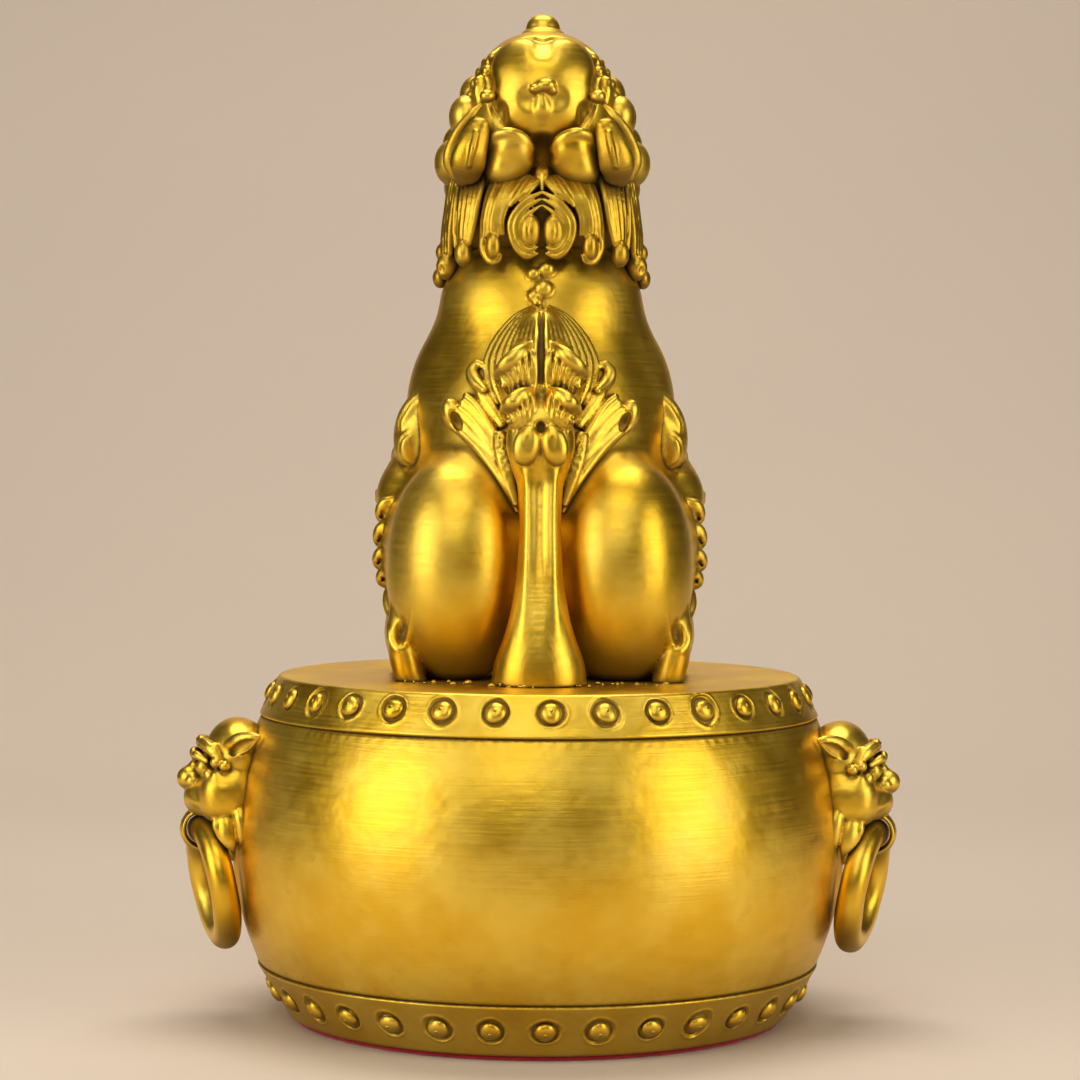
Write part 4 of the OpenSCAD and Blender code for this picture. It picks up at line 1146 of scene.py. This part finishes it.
def ear(side):
    """A drooping leaf: a thin rim behind and a fat lobe hanging in front of it."""
    clay = Clay((6, -2, 94), (22, 14, 117), 0.25)
    clay.strand([(11.9, 5.4, 113.2), (14.4, 6.2, 110.4), (17.0, 5.8, 106.4), (18.3, 5.0, 102.0),
                 (17.2, 4.6, 98.8)],
                (0.35, 1.0, 1.3, 1.4, 1.0), 0, flat=0.8)
    clay.egg((14.4, 4.4, 103.2), (3.9, 2.8, 6.4), 1.0, turn=(0, -14, 0))
    clay.strand([(12.4, 7.4, 109.3), (12.7, 8.5, 107.6), (13.8, 8.8, 104.2), (14.7, 7.8, 101.2),
                 (14.7, 6.2, 98.9)],
                (1.5, 2.35, 3.1, 3.5, 2.6), 0.35, flat=0.68)
    clay.egg((12.3, 8.6, 108.7), (1.9, 1.5, 1.4), 0.5)
    clay.strand([(12.9, 10.6, 107.0), (13.6, 11.3, 103.6), (14.4, 10.4, 100.4)], (0.4, 0.55, 0.3), 0.9)
    clay.roughen(0.05, 7)
    if side < 0:
        clay.field = np.ascontiguousarray(clay.field[::-1])
        clay.low[0] = -(clay.low[0] + (clay.size[0] - 1) * clay.cell)
    name = "left_ear" if side > 0 else "right_ear"
    clay.piece(name + "_skin", "statue", "relief_brass", [name], TARNISHED_AND_SHADED, SEAT_Z)


NECK_Y = -6.0


def at_neck(x, grow, z):
    """A point at x on the back of the neck's oval, which is made bigger all round by grow."""
    rx, ry = 19.2 + grow, 16.6 + grow
    return (x, NECK_Y + ry * math.sqrt(max(0.0, 1 - (x / rx) ** 2)), z)


def round_neck(angle, grow, z):
    """A point on the neck, its angle counted from the middle of the back."""
    a = math.radians(angle)
    return ((17.8 + grow) * math.sin(a), NECK_Y + (17.2 + grow) * math.cos(a), z)


def lock(clay, points, widths, ridges, flat=0.7):
    """A lock of hair on each side that lies flat on the neck."""
    out = [(x, y - NECK_Y, 0) for x, y, _ in points]
    clay.strand(points, widths, 0.25, both=True, ridges=ridges, flat=flat, depth=0.3, out=out)


def tress(clay, place, first, last, count, width):
    """Strands of hair side by side over the neck, from one edge's curve to the other's."""
    a, b = np.array(first, float), np.array(last, float)
    lift = 0.35
    for i in range(count):
        t = i / (count - 1)
        rows = a + (b - a) * t + np.array((0, lift * 4 * t * (1 - t), 0))
        swell = width * (1 + 0.18 * math.sin(2.6 * i + 1))
        clay.strand([place(*row) for row in rows], [swell * w for w in (0.8, 1, 1, 0.75)], 0.15,
                    both=True)


def mane():
    """The fringe of hair under the skull: two big spirals at the back, then drops and curls all round."""
    clay = Clay((-26, -33, 73), (26, 18, 103), 0.3)
    clay.egg((0, -6.5, 91.5), (17.4, 15.6, 10.8), 0)
    clay.egg((0, -6.5, 96.0), (16.2, 13.2, 5), 2)
    spirals = (
        (0.66, ((0.3, 0.3, 95.2), (3.4, 0.9, 93.4), (5.9, 1.2, 90.2), (6.1, 1.2, 87.2), (5.0, 1.2, 84.4),
                (3.0, 1.1, 82.7), (1.0, 0.9, 83.3))),
        (0.62, ((0.4, 0.4, 93.9), (3.0, 0.9, 92.3), (4.9, 1.2, 89.8), (5.1, 1.2, 87.3), (4.2, 1.2, 85.2),
                (2.6, 1.2, 83.9), (1.0, 1.1, 84.5))),
        (0.5, ((0.3, 0.5, 92.7), (2.2, 1.0, 91.3), (3.9, 1.2, 89.4), (4.2, 1.2, 87.4),
               (3.4, 1.2, 85.6))),
    )
    for width, path in spirals:
        widths = [0.6 * width] + [width] * (len(path) - 2) + [0.6 * width]
        lock(clay, [at_neck(*p) for p in path], widths, ridges=0, flat=1.0)
    clay.egg(at_neck(2.2, 0.3, 87.7), (2.0, 1.8, 3.4), 0.2, both=True)
    tress(clay, at_neck, ((0.5, -4.0, 98.6), (1.0, -1.4, 97.4), (2.4, 0.2, 95.7), (4.4, 0.6, 94.0)),
          ((3.2, -4.0, 98.8), (4.6, -1.2, 96.8), (6.0, 0.3, 94.6), (7.0, 0.8, 92)), 4, 0.55)
    for x, bow in ((1.5, -0.25), (2.6, 0.3)):
        a, b, c = at_neck(x - bow, 1.7, 90.2), at_neck(x + bow, 2.1, 87.7), at_neck(x - bow, 1.7, 85.2)
        clay.strand([a, b, c], (0.2, 0.3, 0.2), 0.15, cut=True, both=True)
    tress(clay, at_neck, ((2.8, -4.2, 98.8), (6.0, 0.1, 94.8), (7.7, 0.9, 90.4), (7.6, 0.9, 87.2)),
          ((9.4, -4.0, 99.0), (10.7, 0.2, 94.8), (11.6, 1.1, 90), (12.0, 1.0, 86.6)), 7, 0.62)
    curl = ((11.6, 1.0, 87.4), (11.7, 1.2, 84.4), (10.4, 1.2, 82.0), (8.8, 1.1, 81.8), (7.9, 1.0, 83.2))
    lock(clay, [at_neck(*p) for p in curl], (0.7, 0.75, 0.75, 0.6, 0.35), ridges=0)
    clay.egg(at_neck(9.5, 1.0, 84.8), (1.6, 1.75, 2.9), 0.15, both=True)
    tress(clay, at_neck, ((11.4, -3.0, 99.6), (12.4, 0.4, 94.8), (13.3, 1.1, 89.6), (14.2, 1.3, 85.6)),
          ((16.2, -2.0, 99.8), (16.9, 0.6, 94.6), (17.2, 1.2, 89.2), (17.0, 1.4, 85.0)), 6, 0.64)
    clay.egg(at_neck(15.5, 1.7, 83.6), (1.75, 1.9, 2.7), 0.15, both=True)
    tress(clay, round_neck, ((66, 0.6, 98), (68, 1.1, 93), (70, 1.5, 88), (71, 1.6, 84)),
          ((82, 0.6, 98), (84, 1.1, 93), (85, 1.7, 88), (86, 2.0, 83.5)), 5, 0.75)
    clay.egg(round_neck(75, 1.9, 81.4), (2.1, 2.2, 2.7), 0.2, both=True)
    x, y, z = round_neck(72, 3.4, 80.9)
    clay.egg((x, y + 0.9, z - 0.3), (0.85, 1.0, 1.15), 0.3, cut=True, both=True)
    clay.egg(round_neck(90, 2.6, 79.4), (1.6, 2.4, 2.1), 0.25, both=True)
    for angle, drop in ((93, 0.6), (110, 0.8), (127, -0.6), (144, 0.6), (161, -0.4)):
        first = ((angle - 6, 0.5, 98), (angle - 5, 1.0, 93), (angle - 2, 1.6, 88),
                 (angle - 2, 2, 84 + drop))
        last = ((angle + 6, 0.5, 98), (angle + 8, 1.0, 93), (angle + 9, 1.7, 88),
                (angle + 6, 2.2, 83 + drop))
        tress(clay, round_neck, first, last, 4, 0.85)
        curl = ((angle + 8, 1.7, 87 + drop), (angle + 7, 2.2, 83 + drop), (angle + 1, 2.2, 81 + drop),
                (angle - 4, 2.0, 83 + drop))
        lock(clay, [round_neck(*p) for p in curl], (0.8, 1.3, 1.3, 0.6), ridges=2)
        clay.egg(round_neck(angle + 1, 2.1, 84 + drop), (1.6, 1.6, 2.0), 0.2, both=True)
    lock(clay, [round_neck(176, 0.6, 94), round_neck(177, 1.4, 88), round_neck(178, 2.0, 82)],
         (1.8, 2.2, 0.9), ridges=4)
    clay.roughen(0.04, 6)
    clay.piece("mane_fringe_skin", "statue", "relief_brass", ["mane_fringe"], TARNISHED_AND_SHADED, SEAT_Z)


# ---- Ball, collar and bell ----

def brocade_ball():
    """A ball covered with raised interlaced rings and a boss in each."""
    clay = Clay([c - BALL_R - 1 for c in BALL_C], [c + BALL_R + 1 for c in BALL_C], 0.25)
    core = BALL_R - 0.55
    clay.egg(BALL_C, core, 0)
    golden = math.pi * (3 - math.sqrt(5))
    count, ring_r = 34, 1.9
    centre = np.array(BALL_C)
    slices, (x, y, z) = clay.window(centre - BALL_R - 1, centre + BALL_R + 1)
    x, y, z = x - centre[0], y - centre[1], z - centre[2]
    r = np.sqrt(x * x + y * y + z * z)
    skin = np.abs(r - core)
    relief = np.full_like(r, FAR)
    for i in range(count):
        height = 1 - 2 * (i + 0.5) / count
        ring = math.sqrt(1 - height * height)
        d = (ring * math.cos(golden * i), ring * math.sin(golden * i), height)
        away = np.arccos(np.clip((x * d[0] + y * d[1] + z * d[2]) / np.maximum(r, 1e-3), -1, 1)) * core
        relief = np.minimum(relief, np.hypot(np.abs(away - ring_r), skin) - 0.38)
        relief = np.minimum(relief, np.hypot(away, skin * 1.3) - 0.62)
    clay.merge(slices, relief.astype(np.float32), 0.2, False)
    clay.cut_below(0.0)
    clay.piece("brocade_ball_skin", "statue", "relief_brass", ["brocade_ball"], RELIEF, SEAT_Z)


def collar_point(t, lift=0.0):
    """A point along the strap: t is 0 at the middle of the chest, and lift is out from the chest."""
    return (19.5 * math.sin(0.86 * t), -27.4 + 8.5 * t * t - lift, 62.8 + 9 * t * t)


def collar():
    """A strap with stitched edges and round studs across the chest, and the bell that hangs from it."""
    clay = Clay((-22, -34, 57), (22, -6, 84), 0.28)
    steps, end, studs, pitch = 19, 1.37, 10, 0.25
    t = np.linspace(-end, end, steps)
    clay.strand([collar_point(v) for v in t], [2.0] * steps, 0, flat=0.75, out=(0, -1, 0.25))
    for edge in (-1.45, 1.45):
        path = [(x, y, z + edge) for x, y, z in (collar_point(v, 1.2) for v in t)]
        clay.strand(path, [0.45] * steps, 0.2)
    for i in range(studs):
        clay.egg(collar_point(pitch * (i - (studs - 1) / 2), 1.3), (0.9, 0.8, 0.9), 0.15)
    clay.piece("collar_strap_skin", "statue", "relief_brass", ["collar_strap"], RELIEF, SEAT_Z)
    collar_bell()


def collar_bell():
    """A round bell with a belt, an eye on top, and a sound hole with a slit below it."""
    low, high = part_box("collar_bell")
    x, y, z = (low.x + high.x) / 2 / MM, (low.y + high.y) / 2 / MM, low.z / MM - SEAT_Z + 4.2
    bell = Clay((x - 6, y - 6, z - 6), (x + 6, y + 6, z + 9), 0.22)
    bell.egg((x, y, z), 4.15, 0)
    steps = 25
    belt = [(x + 4.2 * math.cos(a), y + 4.2 * math.sin(a), z + 0.3) for a in np.linspace(0, 2 * math.pi,
                                                                                         steps)]
    bell.strand(belt, [0.5] * steps, 0.2)
    bell.strand([(x, y, z + 3.8), (x, y, z + 6.2)], (1.1, 1.0), 0.4)
    bell.egg((x, y - 3.6, z - 1.0), (1.0, 2.0, 1.0), 0.2, cut=True)
    bell.strand([(x, y - 4.4, z - 1.4), (x, y - 3.0, z - 3.4), (x, y, z - 4.4)], (0.35, 0.4, 0.4), 0.1,
                cut=True)
    bell.piece("collar_bell_skin", "statue", "relief_brass", ["collar_bell"], RELIEF, SEAT_Z)


# ---- Mask handles ----

MASK_TURN = 9
RING_YAW = 8
RING_LEAN = 11
RING_R = 10.8
WIRE_R = 2.8
PIVOT = (67.0, 0.0, 38.1)
RING_CLEARANCE = 0.36
CHIN_R = 3.85


def mask_place(side):
    """The mask frame's place on the left (side 1), or its mirror image on the right (side -1)."""
    turn = Matrix.Rotation(math.radians(MASK_TURN), 4, "Z") @ Matrix.Translation(PIVOT)
    return Matrix.Diagonal((side, 1, 1, 1)) @ turn


def keep_off_ring(clay, gap):
    """Takes away what the ring's wire passes through as it swings out."""
    x, y, z = clay.everywhere()
    yaw = math.radians(RING_YAW)
    across = math.cos(yaw) * x + math.sin(yaw) * y
    along = -math.sin(yaw) * x + math.cos(yaw) * y
    swept = np.full(clay.field.shape, FAR, np.float32)
    for angle in np.linspace(-1.5, 83.5, 18):
        a = math.radians(RING_LEAN - angle)
        u = math.cos(a) * across - math.sin(a) * z
        w = math.sin(a) * across + math.cos(a) * z + RING_R
        swept = np.minimum(swept, np.hypot(np.hypot(along, w) - RING_R, u) - WIRE_R - gap)
    clay.field = smooth_max(clay.field, -swept, 0.25)


def mask_clay():
    """A beast's face with a smooth brow, long ears, round eyes and a ring through its mouth."""
    clay = Clay((-17, -14.5, -8), (7, 14.5, 23), 0.26)
    clay.egg((-6.8, 0, 14.2), (6.6, 9.2, 7.7), 0)
    clay.egg((-5.2, 0, 7.0), (6.2, 9.4, 6.6), 2.5, power=2.5)
    clay.egg((-1.4, 0, 6.2), (5.2, 6.6, 4.3), 2)
    clay.egg((2.6, 0, 10.0), (2.5, 2.6, 2.4), 0.4)
    for s in (1, -1):
        clay.egg((1.9, s * 2.1, 9.6), (1.7, 1.6, 1.5), 0.3)
    clay.strand([(-2.2, 0, 14.0), (0.8, 0, 12.8), (2.0, 0, 11.6)], (1.3, 1.4, 1.4), 0.5)
    for s in (-1, 1):
        clay.egg((0.2, s * 4.2, 12.6), (2.2, 2.3, 2.2), 0.4, cut=True)
        clay.egg((-0.1, s * 4.2, 12.5), (1.75, 1.75, 1.75), 0.2)
        clay.strand([(1.6, s * 2.0, 13.4), (1.5, s * 4.2, 14.9), (-0.4, s * 6.6, 13.9)], (0.5, 0.9, 0.5),
                    0.3)
        clay.strand([(0.0, s * 0.8, 16.2), (0.0, s * 3.4, 17.0), (-1.6, s * 6.6, 16.0),
                     (-3.4, s * 8.4, 13.4)],
                    (0.8, 1.3, 1.2, 0.6), 0.35, out=(1, 0, 0.4), ridges=3, depth=0.25)
        clay.strand([(-4.8, s * 6.4, 15.6), (-6.6, s * 9.0, 17.4), (-8.8, s * 11.3, 18.6),
                     (-10.4, s * 12.4, 19.2)],
                    (1.7, 2.2, 1.5, 0.35), 0.4, flat=0.7, out=(0.25, s, -0.1))
        clay.strand([(-5.2, s * 8.6, 15.7), (-7.2, s * 11.0, 17.1), (-9.2, s * 12.6, 18.4)],
                    (0.7, 1.25, 0.4), 0.2,
                    cut=True, flat=0.8, out=(0.25, s, -0.1))
        for x, y, z, r in ((-2.2, 8.0, 13.8, 1.2), (-3.8, 9.4, 13.2, 1.1), (-0.8, 6.8, 11.6, 1.0),
                           (-2.4, 8.2, 11.4, 0.9),
                           (-2.0, 6.4, 16.4, 1.2)):
            clay.egg((x, s * y, z), r, 0.25)
        clay.egg((-4.8, s * 5.6, 7.0), (5.8, 5.2, 5.4), 1.2, power=2.6)
        clay.strand([(1.8, s * 1.2, 7.2), (1.6, s * 3.6, 6.4), (-0.4, s * 6.4, 5.6),
                     (-2.4, s * 7.8, 4.6)],
                    (1.1, 1.4, 1.4, 1.0), 0.4)
        clay.strand([(-3.4, s * 7.4, 5.0), (-3.8, s * 9.0, 2.0), (-4.4, s * 9.6, -1.6),
                     (-5.2, s * 9.2, -4.6)],
                    (1.4, 2.1, 1.9, 0.4), 0.3, flat=0.7, out=(0.5, s, 0))
        clay.strand([(-2.0, s * 8.0, 4.2), (-2.2, s * 9.3, 1.6), (-2.8, s * 9.6, -0.8)], (0.5, 0.8, 0.3),
                    0.3)
        clay.strand([(-6.0, s * 8.6, 6.0), (-7.0, s * 10.0, 3.0), (-7.4, s * 10.4, -0.4),
                     (-7.6, s * 9.8, -3.0)],
                    (1.3, 1.7, 1.4, 0.5), 0.3, out=(0.3, s, 0))
        clay.strand([(0.8, s * 3.4, 5.4), (1.0, s * 3.6, 3.8), (0.6, s * 3.5, 2.8)], (0.7, 0.6, 0.2),
                    0.15)
    chin = [(-5.4, 0, -3.6)] + [(CHIN_R * math.sin(a), 0,
                                 -CHIN_R * math.cos(a)) for a in np.linspace(-0.3, 2.7, 8)]
    facing = [(0, 0, -1)] + [(x, 0, z) for x, y, z in chin[1:]]
    clay.strand(chin, [2.6] + [2.3] * 7 + [2.6], 0.3, flat=0.26, out=facing)
    clay.egg((-6.2, 0, -1.2), (2.6, 6.2, 5.4), 0.8)
    x, y, z = clay.everywhere()
    from_axis = np.hypot(PIVOT[0] + x, y)
    height = z + PIVOT[2]
    barrel = np.hypot(np.maximum(from_axis - (BARREL_R - BULGE_R), 0), height - BULGE_Z) - BULGE_R
    clay.field = np.maximum(clay.field, -barrel - 0.25)
    clay.roughen(0.05, 6)
    keep_off_ring(clay, RING_CLEARANCE)
    return clay


def masks():
    """Both masks are the same casting, one of them mirrored."""
    clay = mask_clay()
    for side, name in ((1, "left"), (-1, "right")):
        clay.piece(name + "_mask_skin", "statue", "relief_brass", [name + "_mask"], RELIEF, 0.0,
                   mask_place(side))


def ring(side, name):
    """A cast ring, filed by hand, so that its wire isn't quite round or even."""
    around, section = 220, 44
    u = np.linspace(0, 2 * math.pi, around, endpoint=False)[:, None]
    v = np.linspace(0, 2 * math.pi, section, endpoint=False)[None, :]
    uneven = 1 + 0.018 * np.sin(3 * u + 1) + 0.012 * np.sin(7 * u) + 0.012 * np.sin(2 * v + 3 * u)
    wire = (WIRE_R - 0.06) * uneven - 0.10 * np.exp(-((v - math.pi / 2) / 0.5) ** 2) * np.ones_like(u)
    r = RING_R + wire * np.cos(v)
    points = np.stack([wire * np.sin(v) * np.ones_like(u), r * np.sin(u), r * np.cos(u) - RING_R],
                      -1).reshape(-1, 3)
    faces = closed_faces(around, section)
    turn = Matrix.Rotation(math.radians(RING_YAW), 4, "Z") @ Matrix.Rotation(math.radians(RING_LEAN), 4,
                                                                             "Y")
    place = mask_place(side) @ turn
    points = points @ np.array(place.to_3x3(), float).T + np.array(place.translation)
    make_piece(name + "_ring_skin", points, faces, name + "_ring_body", [name + "_ring"],
               RELIEF)


def solder_beads():
    """Small beads of braze in the joint between the lion and the drum."""
    clay = Clay((-34, -20, -0.4), (34, 40, 3), 0.25)
    tail_beads, all_beads = 22, 46
    for i in range(all_beads):
        part = (i * 0.618) % 1
        if i < tail_beads:
            x = -9.5 + 19 * part
            y = 35.2 + 0.7 * math.sin(i * 2.3) - 0.012 * x * x
        else:
            x = (11 + 16 * part) * (1 if i % 2 else -1)
            y = 27.5 + 1.6 * math.sin(i * 1.3) - 0.03 * (abs(x) - 16) ** 2
        z = 0.15 + 0.2 * math.sin(i * 0.137 * math.pi + 0.4)
        size = 0.42 + 0.22 * math.sin(i * 3.7)
        spread = 1 + 0.5 * math.sin(i * 1.9)
        clay.egg((x, y, z), (size * spread, size, size * 0.9), 0.2)
    clay.piece("braze_beads", "statue", "cast_brass", [], RELIEF, SEAT_Z)


def repaint(nodes, material):
    """A better finish on CAD parts that are kept as they are."""
    for name in nodes:
        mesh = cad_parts[name].data
        mesh.materials.clear()
        mesh.materials.append(material)


studio()
repaint(("drum_base_plate", "fixing_bridge"), DULL)
repaint(("base_plate_screws", "mask_screws", "fixing_screws"), STEEL)
drum_barrel()
drum_top_cap()
drum_bottom_ring()
felt_pad()
lion = body()
tail(lion)
head()
ear(1)
ear(-1)
mane()
brocade_ball()
collar()
solder_beads()
masks()
ring(1, "left")
ring(-1, "right")
